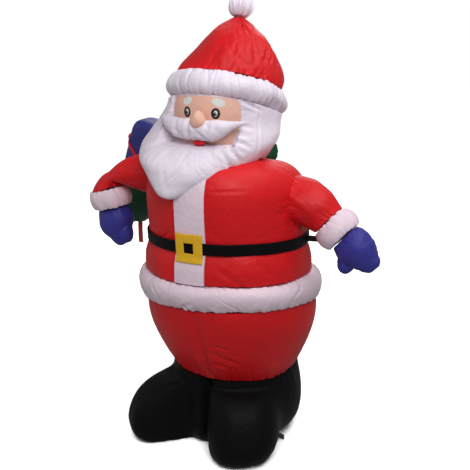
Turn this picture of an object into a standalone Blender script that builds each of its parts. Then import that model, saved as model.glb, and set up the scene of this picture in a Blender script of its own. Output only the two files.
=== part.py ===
"""A blow-up Christmas garden figure of coated nylon, 1.2 m tall.

Metres, +Z up. The figure faces -Y and stands on z = 0, with its own left hand at +X.
The body is a stack of pouches, each closed by the sewn seam that the next one starts from.
"""
import math

import bmesh
import bpy
from mathutils import Vector

for item in list(bpy.data.objects):
    bpy.data.objects.remove(item, do_unlink=True)

# Heights of the pouches, from the soles up
BOOT_HEIGHT = 0.214
TROUSER_HEIGHT = 0.198
HEM_HEIGHT = 0.086
SKIRT_HEIGHT = 0.077
BELT_WIDTH = 0.030
CHEST_HEIGHT = 0.195
HEAD_HEIGHT = 0.124
BAND_HEIGHT = 0.062
CROWN_HEIGHT = 0.170

# Radii of the pouches
BOOT_RADIUS = 0.177
TROUSER_RADIUS = 0.236
HEM_RADIUS = 0.250
SKIRT_RADIUS = 0.226
WAIST_RADIUS = 0.211
CHEST_RADIUS = 0.215
NECK_RADIUS = 0.100
HEAD_RADIUS = 0.134
BAND_RADIUS = 0.156
CROWN_RADIUS = 0.138
POMPOM_RADIUS = 0.032

GAP = 0.0003
BODY_SIDES = 32
LIMB_SIDES = 18


def seam(y, z, lean_degrees, droop_degrees=0.0):
    """A seam's plane: its centre's y and z, its lean back and its droop to the figure's right."""
    return Vector((y, z, math.radians(lean_degrees), math.radians(droop_degrees)))


SOLE_Y = 0.045
BOOT_SEAM = seam(SOLE_Y, BOOT_HEIGHT, 0.0)
HEM_LOW = seam(0.015, BOOT_SEAM.y + TROUSER_HEIGHT, 7.0, 3.5)
HEM_HIGH = seam(0.002, HEM_LOW.y + HEM_HEIGHT, 3.8, 1.5)
BELT_LOW = seam(-0.002, HEM_HIGH.y + SKIRT_HEIGHT, 4.0, 1.5)
BELT_HIGH = seam(-0.004, BELT_LOW.y + BELT_WIDTH, 4.0, 1.5)
NECK = seam(-0.010, BELT_HIGH.y + CHEST_HEIGHT, 9.0)
BAND_LOW = seam(-0.024, NECK.y + HEAD_HEIGHT, 20.0)


def raised(level, height):
    """The level moved along its own axis, which leans back."""
    y, z, lean, droop = level
    return Vector((y + height * math.sin(lean), z + height * math.cos(lean), lean, droop))


BAND_HIGH = raised(BAND_LOW, BAND_HEIGHT)
CROWN_TOP = raised(BAND_HIGH, CROWN_HEIGHT)


def on_level(level, x, back):
    """A point of the tilted plane, x to the figure's left and back to its rear."""
    y, z, lean, droop = level
    rise = x * math.tan(droop) - back * math.sin(lean)
    return Vector((x, y + back * math.cos(lean), z + rise))


def at_turn(level, radius, turn):
    """A point of the tilted plane, turned from the front towards the figure's left."""
    return on_level(level, radius * math.sin(turn), -radius * math.cos(turn))


def round_ring(level, radius, sides=BODY_SIDES):
    return [at_turn(level, radius, 2 * math.pi * i / sides) for i in range(sides)]


def steps_to(last, first=0):
    """Shares of the way from 0 to 1 in equal steps."""
    return [i / last for i in range(first, last + 1)]


def nylon(name, colour, roughness=0.42):
    material = bpy.data.materials.new(name)
    material.use_nodes = True
    shader = material.node_tree.nodes["Principled BSDF"]
    shader.inputs["Base Color"].default_value = (*colour, 1.0)
    shader.inputs["Roughness"].default_value = roughness
    shader.inputs["Metallic"].default_value = 0.0
    return material


RED = nylon("red_nylon", (0.62, 0.015, 0.02))
WHITE = nylon("white_nylon", (0.82, 0.81, 0.84))
BLACK = nylon("black_nylon", (0.012, 0.012, 0.014))
BLUE = nylon("blue_nylon", (0.015, 0.022, 0.22))
GREEN = nylon("green_nylon", (0.01, 0.10, 0.03))
YELLOW = nylon("yellow_nylon", (0.80, 0.56, 0.03))
SKIN = nylon("skin_nylon", (0.80, 0.50, 0.36))
PARCEL = nylon("parcel_nylon", (0.02, 0.03, 0.30))
WEBBING = nylon("webbing", (0.015, 0.015, 0.016), 0.7)


def finished(name, body, material, cutter=False):
    """Turn a bmesh into a named object, smooth where it is round."""
    bmesh.ops.recalc_face_normals(body, faces=body.faces)
    mesh = bpy.data.meshes.new(name)
    body.to_mesh(mesh)
    body.free()
    mesh.shade_smooth()
    mesh.set_sharp_from_angle(angle=math.radians(40))
    mesh.materials.append(material)
    piece = bpy.data.objects.new(name, mesh)
    bpy.context.collection.objects.link(piece)
    if cutter:
        piece.hide_render = True
        piece.display_type = "WIRE"
    return piece


def loft(name, rings, material, cutter=False):
    """Join rings of equal count into one closed body with flat ends."""
    body = bmesh.new()
    rows = [[body.verts.new(point) for point in ring] for ring in rings]
    for low, high in zip(rows, rows[1:]):
        for i in range(len(low)):
            j = (i + 1) % len(low)
            body.faces.new((low[i], low[j], high[j], high[i]))
    body.faces.new(rows[0])
    body.faces.new(rows[-1])
    return finished(name, body, material, cutter)


def room(name, rings):
    """A cutter, which leaves room for a neighbour."""
    return loft(name, rings, WHITE, cutter=True)


def cut(piece, *tools, operation="DIFFERENCE"):
    for tool in tools:
        boolean = piece.modifiers.new(tool.name, "BOOLEAN")
        boolean.operation = operation
        boolean.solver = "EXACT"
        boolean.object = tool
    return piece


def pouch_levels(low, high, radius_at, steps, grow=0.0):
    """Levels and radii between two seams, half a gap inside each of them."""
    start = raised(low, GAP / 2 - grow)
    end = raised(high, grow - GAP / 2)
    return [(start.lerp(end, t), radius_at(t) + grow) for t in steps_to(steps)]


def rings_of(levels):
    return [round_ring(level, radius) for level, radius in levels]


# Boots: each is half of a drum, with a toe that swells out of its front
TOE_HEIGHT = {"left": 0.188, "right": 0.180}
TOE_REACH = {"left": 0.108, "right": 0.142}
TOE_TURN = {"left": math.radians(31), "right": math.radians(44)}
TOE_SPREAD = {"left": math.radians(27), "right": math.radians(17)}
TOE_POWER = {"left": 3, "right": 4}
SOLE_INSET = 0.030
SOLE_ROUNDING = 0.065
HEEL_INSET = 0.024
HEEL_ROUNDING = 0.150
ANKLE_BULGE = 0.014
BOOT_STEPS = 9
BOOT_STEP_POWER = 1.35
BOOT_SIDES = 18
SIGN = {"left": 1, "right": -1}


def tucked(z, rounding):
    """The share of an inset that is left at a height over the floor."""
    under = max(0.0, 1 - z / rounding)
    return 1 - math.sqrt(1 - under ** 2)


def boot_reach(side, turn, z):
    """How far the boot stands out from the drum's axis, turned from the front."""
    sole = SOLE_INSET * tucked(z, SOLE_ROUNDING)
    heel = HEEL_INSET * tucked(z, HEEL_ROUNDING) * math.sin(turn) ** 2
    toe = TOE_REACH[side] * math.sqrt(max(0.0, 1 - (z / TOE_HEIGHT[side]) ** 2))
    swell = math.exp(-abs((turn - TOE_TURN[side]) / TOE_SPREAD[side]) ** TOE_POWER[side])
    bulge = ANKLE_BULGE * math.sin(math.pi * z / BOOT_HEIGHT) * math.sin(turn)
    return BOOT_RADIUS - sole - heel + bulge + toe * swell


def boot_ring(side, z, grow=0.0):
    ring = []
    for share in steps_to(BOOT_SIDES):
        turn = math.pi * share
        reach = boot_reach(side, turn, z) + grow
        x = max(GAP / 2, reach * math.sin(turn))
        ring.append(Vector((SIGN[side] * x, SOLE_Y - reach * math.cos(turn), z)))
    return ring


def boot_rings(side, grow=0.0):
    top = BOOT_HEIGHT - GAP
    return [boot_ring(side, top * share ** BOOT_STEP_POWER, grow) for share in steps_to(BOOT_STEPS)]


for side in SIGN:
    loft(f"boot_{side}", boot_rings(side), BLACK)


# Trousers: a bowl that narrows from the hem down to the boots
TROUSER_SWELL = math.radians(99)
TROUSER_STEPS = 7


def trouser_radius(t):
    return BOOT_RADIUS + (TROUSER_RADIUS - BOOT_RADIUS) * math.sin(TROUSER_SWELL * t)


loft("trousers", rings_of(pouch_levels(BOOT_SEAM, HEM_LOW, trouser_radius, TROUSER_STEPS)), RED)

# The hem's puffed trim
PUFF_POWER = 0.6
TRIM_STEPS = 6


def puff(t):
    """How full a puffed ring is, from 0 at its seams to 1 between them."""
    return max(0.0, math.sin(math.pi * t)) ** PUFF_POWER


def hem_radius(t):
    edge = TROUSER_RADIUS + (SKIRT_RADIUS - TROUSER_RADIUS) * t
    return edge + (HEM_RADIUS - edge) * puff(t)


loft("hem_trim", rings_of(pouch_levels(HEM_LOW, HEM_HIGH, hem_radius, TRIM_STEPS)), WHITE)

# Coat: a skirt, the waist under the belt, the chest and rounded shoulders
SHOULDER_START = 0.42
SHOULDER_POWER = 2.3
SKIRT_FALL = 2.5
SKIRT_STEPS = 3
CHEST_STEPS = 8


def skirt_radius(t):
    return WAIST_RADIUS + (SKIRT_RADIUS - WAIST_RADIUS) * (1 - t ** SKIRT_FALL)


def chest_radius(t):
    if t < SHOULDER_START:
        rise = math.sin(math.pi / 2 * t / SHOULDER_START)
        return WAIST_RADIUS + (CHEST_RADIUS - WAIST_RADIUS) * rise
    over = (t - SHOULDER_START) / (1 - SHOULDER_START)
    fall = max(0.0, 1 - over ** SHOULDER_POWER) ** (1 / SHOULDER_POWER)
    return NECK_RADIUS + (CHEST_RADIUS - NECK_RADIUS) * fall


def coat_levels(grow=0.0):
    """The coat's levels and radii, from the hem up."""
    hem = raised(HEM_HIGH, GAP / 2 - grow)
    neck = raised(NECK, grow - GAP / 2)
    levels = [(hem.lerp(BELT_LOW, t), skirt_radius(t) + grow) for t in steps_to(SKIRT_STEPS)[:-1]]
    levels += [(level, WAIST_RADIUS + grow) for level in (BELT_LOW, BELT_HIGH)]
    levels += [(BELT_HIGH.lerp(neck, t), chest_radius(t) + grow) for t in steps_to(CHEST_STEPS, 1)]
    return levels


coat = loft("coat", rings_of(coat_levels()), RED)
coat_room = room("coat_room", rings_of(coat_levels(GAP)))

# Placket: a strip let into the coat's front, from the hem up under the beard
FRONT_TURN = math.radians(1.4)
CLEAR = 0.01
PLACKET_WIDTH = 0.082
PLACKET_DEPTH = 0.006
PLACKET_PROUD = 0.001
BELT_EDGES = 2
PLACKET_CHEST_LEVELS = 6
PLACKET_LEVELS = SKIRT_STEPS + BELT_EDGES + PLACKET_CHEST_LEVELS
ACROSS = (-1.0, -0.5, 0.0, 0.5, 1.0)


def strip_ring(level, inner, outer, turns):
    """A closed slice of a strip that follows the body's front."""
    front = [at_turn(level, outer, turn) for turn in turns]
    rear = [at_turn(level, inner, turn) for turn in reversed(turns)]
    return front + rear


def placket_rings(grow=0.0, below=0.0, out=0.0):
    """The strip's slices; for the room they reach below the hem and out of the front."""
    levels = coat_levels()[:PLACKET_LEVELS]
    if grow:
        first, last = levels[0], levels[-1]
        levels.insert(0, (raised(first[0], -grow - below), first[1]))
        levels.append((raised(last[0], grow), last[1]))
    rings = []
    for level, radius in levels:
        half_turn = math.asin((PLACKET_WIDTH / 2 + grow) / radius)
        turns = [FRONT_TURN + half_turn * share for share in ACROSS]
        inner = radius - PLACKET_DEPTH - grow
        rings.append(strip_ring(level, inner, radius + PLACKET_PROUD + grow + out, turns))
    return rings


loft("placket", placket_rings(), WHITE)
cut(coat, room("placket_room", placket_rings(GAP, CLEAR, CLEAR)))

# Belt: a thin band round the waist and over the placket
BELT_THICKNESS = 0.003
BELT_INNER = WAIST_RADIUS + PLACKET_PROUD + GAP
BELT_OUTER = BELT_INNER + BELT_THICKNESS


def hoop(name, levels, material):
    """A closed band from the levels and radii of its section's corners."""
    body = bmesh.new()
    rows = [[body.verts.new(point) for point in ring] for ring in rings_of(levels)]
    for row, following in zip(rows, rows[1:] + rows[:1]):
        for i in range(len(row)):
            j = (i + 1) % len(row)
            body.faces.new((row[i], row[j], following[j], following[i]))
    return finished(name, body, material)


belt = hoop("belt", [(BELT_LOW, BELT_INNER), (BELT_LOW, BELT_OUTER),
                     (BELT_HIGH, BELT_OUTER), (BELT_HIGH, BELT_INNER)], BLACK)
placket_face = room("placket_face", placket_rings(2 * GAP))
cut(belt, placket_face)

# Buckle: a curved square frame on the belt, which shows black through its window
BUCKLE_SIZE = 0.074
BUCKLE_WINDOW = 0.026
BUCKLE_THICKNESS = 0.004
BUCKLE_STANDOFF = 0.0008


def buckle_seat(height):
    """The radius that clears the belt, and the placket where the coat swells beside it."""
    over = abs(height) - BELT_WIDTH / 2
    coat_here = chest_radius(over / CHEST_HEIGHT) if height > 0 else skirt_radius(1 - over / SKIRT_HEIGHT)
    return max(BELT_OUTER, coat_here + PLACKET_PROUD) + BUCKLE_STANDOFF


def buckle():
    body = bmesh.new()
    stops = (-BUCKLE_SIZE / 2, -BUCKLE_WINDOW / 2, BUCKLE_WINDOW / 2, BUCKLE_SIZE / 2)
    grids = []
    for thickness in (0.0, BUCKLE_THICKNESS):
        grid = []
        for height in stops:
            level = BELT_LOW.lerp(BELT_HIGH, 0.5 + height / BELT_WIDTH)
            radius = buckle_seat(height) + thickness
            turns = [FRONT_TURN + math.asin(x / radius) for x in stops]
            grid.append([body.verts.new(at_turn(level, radius, turn)) for turn in turns])
        grids.append(grid)
    back, front = grids
    for row in range(3):
        for column in range(3):
            if (row, column) == (1, 1):
                continue
            for grid in grids:
                body.faces.new((grid[row][column], grid[row][column + 1],
                                grid[row + 1][column + 1], grid[row + 1][column]))
    for first, last in ((0, 3), (1, 2)):
        edge = [(first, i) for i in range(first, last)] + [(i, last) for i in range(first, last)]
        edge += [(last, i) for i in range(last, first, -1)] + [(i, first) for i in range(last, first, -1)]
        for (row, column), (row_b, column_b) in zip(edge, edge[1:] + edge[:1]):
            body.faces.new((back[row][column], back[row_b][column_b],
                            front[row_b][column_b], front[row][column]))
    return finished("buckle", body, YELLOW)


buckle()


def tube(path, radii, sides=LIMB_SIDES):
    """Rings across a path; each radius is a pair, across and from front to back."""
    rings = []
    for i, (point, (wide, deep)) in enumerate(zip(path, radii)):
        ahead = (path[min(i + 1, len(path) - 1)] - path[max(i - 1, 0)]).normalized()
        across = Vector((0, 1, 0)).cross(ahead).normalized()
        over = ahead.cross(across)
        turns = [2 * math.pi * k / sides for k in range(sides)]
        rings.append([point + across * wide * math.cos(a) + over * deep * math.sin(a) for a in turns])
    return rings


def curve_through(points, steps):
    """Points along a smooth curve through the given ones."""
    padded = [2 * points[0] - points[1], *points, 2 * points[-1] - points[-2]]
    curve = []
    for a, b, c, d in zip(padded, padded[1:], padded[2:], padded[3:]):
        for t in steps_to(steps)[:-1]:
            bend = (c - a) * t + (2 * a - 5 * b + 4 * c - d) * t ** 2
            curve.append(b + 0.5 * (bend + (3 * b - a - 3 * c + d) * t ** 3))
    return curve + [points[-1]]


# Arms: slices from the shoulder to the wrist, as x, y, height over the collar, dip in degrees and
# two half sizes. The left one stands out, and the right one folds down over a crease at the elbow.
COLLAR = NECK.y
WRIST_RADIUS = 0.050
ARM_STEPS = 2
ARM_SLICES = {
    "left": [(0.100, 0.0, -0.110, -6, 0.070, 0.070),
             (0.145, 0.0, -0.102, -3, 0.069, 0.069),
             (0.190, 0.0, -0.100, 6, 0.067, 0.067),
             (0.235, 0.0, -0.110, 22, 0.062, 0.062),
             (0.283, 0.0, -0.142, 41, WRIST_RADIUS, WRIST_RADIUS)],
    "right": [(0.100, 0.0, -0.105, -8, 0.068, 0.068),
              (0.185, -0.010, -0.078, -2, 0.062, 0.062),
              (0.262, -0.025, -0.070, 8, 0.054, 0.056),
              (0.318, -0.035, -0.0805, 28, 0.0285, 0.054),
              (0.3285, -0.038, -0.0875, 50, 0.0290, 0.052),
              (0.3405, -0.042, -0.0955, 72, 0.0350, WRIST_RADIUS),
              (0.3580, -0.045, -0.1205, 104, WRIST_RADIUS, WRIST_RADIUS)],
}


def limb_frame(side, dip_degrees):
    """The sleeve's way onwards and the way to its upper side."""
    dip = math.radians(dip_degrees)
    ahead = Vector((SIGN[side] * math.cos(dip), 0.0, -math.sin(dip)))
    upper = Vector((SIGN[side] * math.sin(dip), 0.0, math.cos(dip)))
    return ahead, upper


def arm_rings(side, grow=0.0):
    rings = []
    for x, y, z, dip, tall, deep in curve_through([Vector(row) for row in ARM_SLICES[side]], ARM_STEPS):
        upper = limb_frame(side, dip)[1]
        turns = [2 * math.pi * k / LIMB_SIDES for k in range(LIMB_SIDES)]
        rings.append([Vector((SIGN[side] * x, y, COLLAR + z)) + upper * (tall + grow) * math.cos(a)
                      + Vector((0.0, 1.0, 0.0)) * (deep + grow) * math.sin(a) for a in turns])
    return rings


def past_wrist(side, distance):
    x, y, z, dip, _, _ = ARM_SLICES[side][-1]
    return Vector((SIGN[side] * x, y, COLLAR + z)) + limb_frame(side, dip)[0] * distance


for side in SIGN:
    cut(loft(f"arm_{side}", arm_rings(side), RED), coat_room)

# Cuffs: a puffed ring at the end of each sleeve
CUFF_RADIUS = 0.060
CUFF_LENGTH = 0.056
CUFF_STEPS = 5


def cuff_radius(t):
    return WRIST_RADIUS + (CUFF_RADIUS - WRIST_RADIUS) * puff(t)


for side in SIGN:
    cuff_path = [past_wrist(side, GAP + (CUFF_LENGTH - GAP) * t) for t in steps_to(CUFF_STEPS)]
    cuff_radii = [(cuff_radius(t), cuff_radius(t)) for t in steps_to(CUFF_STEPS)]
    loft(f"cuff_{side}", tube(cuff_path, cuff_radii), WHITE)

# Mittens: a flat pouch with a thumb that points down on the body's side
MITTEN_LENGTH = 0.111
MITTEN_WIDTH = 0.112
MITTEN_DEPTH = 0.092
MITTEN_STEPS = 7
THUMB_LENGTH = {"left": 0.070, "right": 0.078}
THUMB_RADIUS = 0.024
THUMB_STEPS = 6
THUMB_SIDES = 12
THUMB_ROUNDING = 0.8
BALL_END = 0.06
WRIST_FILL = 0.80
PALM_SHARE = 1.3
MITTEN_END_SHARE = 0.965
MITTEN_END_POWER = 2.6
MITTEN_ROUNDING = 2.2
THUMB_ROOT = {"left": Vector((-0.004, 0.0, -0.008)), "right": Vector((0.016, 0.0, 0.0))}
THUMB_AIM = {"left": Vector((-0.15, -0.1, -1.0)), "right": Vector((0.40, -0.1, -0.95))}


def mitten_fill(t):
    """The pouch's fullness: a narrow wrist, a broad palm and a round end."""
    palm = WRIST_FILL + (1 - WRIST_FILL) * math.sin(math.pi * min(1.0, PALM_SHARE * t))
    return palm * (1 - (MITTEN_END_SHARE * t) ** MITTEN_END_POWER) ** (1 / MITTEN_ROUNDING)


def mitten(side):
    fills = [mitten_fill(t) for t in steps_to(MITTEN_STEPS)]
    path = [past_wrist(side, CUFF_LENGTH + GAP + MITTEN_LENGTH * t) for t in steps_to(MITTEN_STEPS)]
    palm = tube(path, [(MITTEN_WIDTH / 2 * fill, MITTEN_DEPTH / 2 * fill) for fill in fills])
    root = past_wrist(side, CUFF_LENGTH + THUMB_RADIUS + GAP) + THUMB_ROOT[side]
    aim = THUMB_AIM[side].normalized()
    turns = [math.pi * (BALL_END + (1 - 2 * BALL_END) * t) for t in steps_to(THUMB_STEPS)]
    thumb_path = [root + aim * THUMB_LENGTH[side] / 2 * (1 - math.cos(a)) for a in turns]
    thumb_radii = [(THUMB_RADIUS * math.sin(a) ** THUMB_ROUNDING,) * 2 for a in turns]
    thumb = loft(f"thumb_{side}", tube(thumb_path, thumb_radii, THUMB_SIDES), BLUE, cutter=True)
    return cut(loft(f"mitten_{side}", palm, BLUE), thumb, operation="UNION")


for side in SIGN:
    mitten(side)

# Head: a ball of white hair between the collar and the hat
HEAD_STEPS = 8
HEAD_SWELL = (0.14, 0.66)


def head_radius(t):
    low, high = HEAD_SWELL
    base = math.sin(math.pi * low)
    swell = math.sin(math.pi * (low + (high - low) * t))
    return NECK_RADIUS + (HEAD_RADIUS - NECK_RADIUS) * (swell - base) / (1 - base)


def head_levels(grow=0.0):
    return pouch_levels(NECK, BAND_LOW, head_radius, HEAD_STEPS, grow)


head = loft("head", rings_of(head_levels()), WHITE)
head_room = room("head_room", rings_of(head_levels(GAP)))

# Face: a panel let into the head's front, from the mouth up to the hat
FACE_START = 0.20
FACE_HALF_ANGLE = math.radians(44)
FACE_DEPTH = 0.010
FACE_BULGE = 0.007
MOUTH_BULGE = 0.020
MOUTH_SHARE = 0.32
FACE_STEPS = 7
FACE_ACROSS = [share * 2 - 1 for share in steps_to(8)]


def face_rings(grow=0.0, out=0.0, floor=None):
    """The panel's slices; out widens it forwards, and floor gives its lowest level."""
    bottom, top = NECK.lerp(BAND_LOW, FACE_START), raised(BAND_LOW, -GAP / 2)
    slices = [(bottom.lerp(top, share), share) for share in steps_to(FACE_STEPS)]
    if grow:
        slices[0] = (floor or raised(bottom, -grow), 0.0)
        slices.append((raised(top, CLEAR), 1.0))
    rings = []
    for level, share in slices:
        radius = head_radius(FACE_START + (1 - FACE_START) * share)
        front, rear = [], []
        for across in FACE_ACROSS:
            turn = (FACE_HALF_ANGLE + grow / radius) * across
            bulge = FACE_BULGE * math.sqrt((1 - across ** 2) * (1 - (2 * share - 1) ** 2))
            bulge += MOUTH_BULGE * math.exp(-(share / MOUTH_SHARE) ** 2) * math.sqrt(1 - across ** 2)
            front.append(at_turn(level, radius + PLACKET_PROUD + bulge + out + grow, turn))
            rear.append(at_turn(level, radius - FACE_DEPTH - grow, turn))
        rings.append(front + rear[::-1])
    return rings


loft("face", face_rings(), SKIN)
face_room = room("face_room", face_rings(GAP))
cut(head, room("face_recess", face_rings(GAP, CLEAR)))

# Beard: rows from the tip up, as height over the collar, middle, half width, depth and the back's y
BEARD_SIDES = 16
BEARD_ROWS = [
    (-0.080, -0.045, 0.018, 0.032, -0.195),
    (-0.073, -0.045, 0.034, 0.058, -0.184),
    (-0.059, -0.045, 0.062, 0.088, -0.160),
    (-0.042, -0.044, 0.094, 0.120, -0.127),
    (-0.021, -0.040, 0.128, 0.152, -0.092),
    (0.005, -0.043, 0.158, 0.175, -0.060),
    (0.035, -0.038, 0.178, 0.180, -0.030),
    (0.062, -0.028, 0.178, 0.172, -0.012),
    (0.095, -0.018, 0.166, 0.164, 0.000),
    (0.130, -0.005, 0.156, 0.162, 0.006),
    (0.175, 0.000, 0.154, 0.162, 0.010),
]
WINDOW_RISE = 0.025
WINDOW_REACH = 0.14
HAT_ROOM_RADIUS = 0.30
HAT_ROOM_HEIGHT = 0.25


def beard_rings(grow=0.0):
    rings = []
    for z, middle, half_width, depth, back in BEARD_ROWS:
        turns = [math.pi * (share - 0.5) for share in steps_to(BEARD_SIDES)]
        rings.append([Vector((middle + (half_width + grow) * math.sin(a),
                              back - (depth + grow) * math.cos(a), COLLAR + z)) for a in turns])
    return rings


hat_floor = raised(BAND_LOW, -GAP / 2)
hat_room = room("hat_room", rings_of([(hat_floor, HAT_ROOM_RADIUS),
                                      (raised(hat_floor, HAT_ROOM_HEIGHT), HAT_ROOM_RADIUS)]))
face_low = NECK.lerp(BAND_LOW, FACE_START)
window_floor = seam(face_low.x, face_low.y + WINDOW_RISE, 0.0)
cut(loft("beard", beard_rings(), WHITE), hat_room, coat_room, head_room, face_room, placket_face,
    room("face_window", face_rings(2 * GAP, WINDOW_REACH, window_floor)))

# Moustache: one broad pouch over the face, which narrows to the ends of its upper edge
MOUSTACHE_MIDDLE = -0.007
MOUSTACHE_HALF_WIDTH = 0.124
MOUSTACHE_RISE = 0.115
MOUSTACHE_HEIGHT = 0.053
MOUSTACHE_TAPER = 0.45
MOUSTACHE_LIFT = 0.7
MOUSTACHE_DEPTH = 0.044
MOUSTACHE_FRONT = 0.170
MOUSTACHE_SWEEP = 0.190
MOUSTACHE_END_SHARE = 0.99
MOUSTACHE_END_POWER = 8
MOUSTACHE_STEPS = 14
MOUSTACHE_SIDES = 12


def moustache_height(side):
    """The share of its height that the moustache keeps, at a share of the way out to an end."""
    taper = max(0.0, (abs(side) - MOUSTACHE_TAPER) / (1 - MOUSTACHE_TAPER))
    return 1 - MOUSTACHE_LIFT * taper


def moustache_rings(grow=0.0):
    rings = []
    for share in steps_to(MOUSTACHE_STEPS):
        side = 2 * share - 1
        x = MOUSTACHE_MIDDLE + (MOUSTACHE_HALF_WIDTH + grow) * side
        y = -MOUSTACHE_FRONT * math.sqrt(1 - (x / MOUSTACHE_SWEEP) ** 2)
        height = moustache_height(side)
        z = COLLAR + MOUSTACHE_RISE - MOUSTACHE_HEIGHT / 2 * height
        end = math.sqrt(1 - (MOUSTACHE_END_SHARE * abs(side)) ** MOUSTACHE_END_POWER)
        tall, deep = MOUSTACHE_HEIGHT / 2 * height * end, MOUSTACHE_DEPTH / 2 * height * end
        turns = [2 * math.pi * k / MOUSTACHE_SIDES for k in range(MOUSTACHE_SIDES)]
        rings.append([Vector((x, y + (deep + grow) * math.sin(a),
                              z + (tall + grow) * math.cos(a))) for a in turns])
    return rings


beard_room = cut(room("beard_room", beard_rings(GAP)),
                 room("window_room", face_rings(GAP, WINDOW_REACH, raised(window_floor, GAP))))
cut(loft("moustache", moustache_rings(), WHITE), hat_room, head_room, face_room, beard_room)


def ball_rings(centre, size, sides, steps, grow=0.0):
    """Slices of an egg with the given half sizes, from its foot up."""
    rings = []
    for share in steps_to(steps):
        rise = math.pi * (BALL_END + (1 - 2 * BALL_END) * share)
        spread = math.sin(rise)
        turns = [2 * math.pi * k / sides for k in range(sides)]
        rings.append([centre + Vector(((size.x + grow) * spread * math.cos(a),
                                       (size.y + grow) * spread * math.sin(a),
                                       -(size.z + grow) * math.cos(rise))) for a in turns])
    return rings


# Nose and lip: small balls on the face, the nose over the moustache
NOSE_RISE = 0.112
NOSE_PLACE = Vector((0.011, -0.175, COLLAR + NOSE_RISE))
NOSE_SIZE = Vector((0.021, 0.022, 0.024))
LIP_RISE = 0.057
LIP_PLACE = Vector((0.008, -0.166, COLLAR + LIP_RISE))
LIP_SIZE = Vector((0.017, 0.010, 0.007))
moustache_room = room("moustache_room", moustache_rings(GAP))
cut(loft("nose", ball_rings(NOSE_PLACE, NOSE_SIZE, 14, 7), SKIN), face_room, moustache_room)
cut(loft("lip", ball_rings(LIP_PLACE, LIP_SIZE, 12, 4), RED), face_room, moustache_room, beard_room)


# Hat: a puffed band, a crown that rounds over, and a tuft
def band_radius(t):
    edge = head_radius(1.0) + (CROWN_RADIUS - head_radius(1.0)) * t
    return edge + (BAND_RADIUS - edge) * puff(t)


TUFT_SEAT = 0.019
TUFT_NECK = 0.45
TUFT_LENGTH = 0.058
CROWN_BOW = 0.013
CROWN_STEPS = 8
CROWN_FALL = 1.6
CROWN_ROUNDING = 0.95


def crown_radius(t):
    return TUFT_SEAT + (CROWN_RADIUS - TUFT_SEAT) * max(0.0, 1 - t ** CROWN_FALL) ** CROWN_ROUNDING


def crown_rings():
    """The crown's slices, which bow to the figure's left on their way up."""
    rings = []
    for i, (level, radius) in enumerate(pouch_levels(BAND_HIGH, CROWN_TOP, crown_radius, CROWN_STEPS)):
        bow = Vector((CROWN_BOW * math.sin(math.pi * i / CROWN_STEPS), 0.0, 0.0))
        rings.append([point + bow for point in round_ring(level, radius)])
    return rings


def pompom_radius(t):
    return POMPOM_RADIUS * (TUFT_NECK + (1 - TUFT_NECK) * puff(t))


loft("hat_band", rings_of(pouch_levels(BAND_LOW, BAND_HIGH, band_radius, TRIM_STEPS)), WHITE)
loft("hat_crown", crown_rings(), RED)
POMPOM_TOP = raised(CROWN_TOP, TUFT_LENGTH)
pompom_levels = pouch_levels(CROWN_TOP, POMPOM_TOP, pompom_radius, TRIM_STEPS)
loft("pompom", [round_ring(level, radius, LIMB_SIDES) for level, radius in pompom_levels], WHITE)

# Sack: slung behind the shoulders, as x, y, height over the collar and half width of each slice
SACK_FLATNESS = 0.75
SACK_ROUTE = [
    (0.038, 0.190, -0.022, 0.030),
    (0.006, 0.205, -0.025, 0.045),
    (-0.100, 0.225, -0.045, 0.066),
    (-0.220, 0.205, -0.080, 0.080),
    (-0.320, 0.165, -0.130, 0.086),
    (-0.385, 0.135, -0.180, 0.088),
    (-0.418, 0.120, -0.228, 0.070),
    (-0.430, 0.115, -0.260, 0.035),
]
SACK_SIDES = 16


def sack_rings(grow=0.0):
    path = [Vector((x, y, COLLAR + z)) for x, y, z, half in SACK_ROUTE]
    sizes = [(half + grow, half * SACK_FLATNESS + grow) for x, y, z, half in SACK_ROUTE]
    return tube(path, sizes, SACK_SIDES)


arm_room = room("arm_room", arm_rings("right", GAP))
cut(loft("sack", sack_rings(), GREEN), coat_room, head_room, arm_room)
sack_room = room("sack_room", sack_rings(GAP))

# Parcel: a soft box that stands out of the sack, with a ribbon round it
GIFT_WIDTH = 0.150
GIFT_HEIGHT = 0.170
GIFT_DEPTH = 0.110
GIFT_PLACE = Vector((-0.324, 0.145, COLLAR - 0.044))
GIFT_ROLL = math.radians(17)
GIFT_STEPS = 6
GIFT_SIDES = 16
GIFT_END = 0.13
GIFT_SQUARENESS = 5
RIBBON_WIDTH = 0.018
RIBBON_THICKNESS = 0.002
RIBBON_PLACE = Vector((-0.392, 0.145, COLLAR - 0.013))
RIBBON_ROLL = math.radians(53)


def soft_square(turn):
    """The reach of a rounded square, which is 1 at the middle of its sides."""
    sides = abs(math.cos(turn)) ** GIFT_SQUARENESS + abs(math.sin(turn)) ** GIFT_SQUARENESS
    return sides ** (-1 / GIFT_SQUARENESS)


def gift_rings(grow=0.0):
    up = Vector((math.sin(GIFT_ROLL), 0.0, math.cos(GIFT_ROLL)))
    right = Vector((math.cos(GIFT_ROLL), 0.0, -math.sin(GIFT_ROLL)))
    rings = []
    for share in steps_to(GIFT_STEPS):
        rise = math.pi * (GIFT_END + (1 - 2 * GIFT_END) * share)
        reach = soft_square(rise)
        turns = [2 * math.pi * k / GIFT_SIDES for k in range(GIFT_SIDES)]
        ring = []
        for a in turns:
            out = soft_square(a) * reach * math.sin(rise)
            x, y = (GIFT_WIDTH / 2 + grow) * out * math.cos(a), (GIFT_DEPTH / 2 + grow) * out * math.sin(a)
            z = -(GIFT_HEIGHT / 2 + grow) * reach * math.cos(rise)
            ring.append(GIFT_PLACE + right * x + Vector((0, y, 0)) + up * z)
        rings.append(ring)
    return rings


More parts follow.
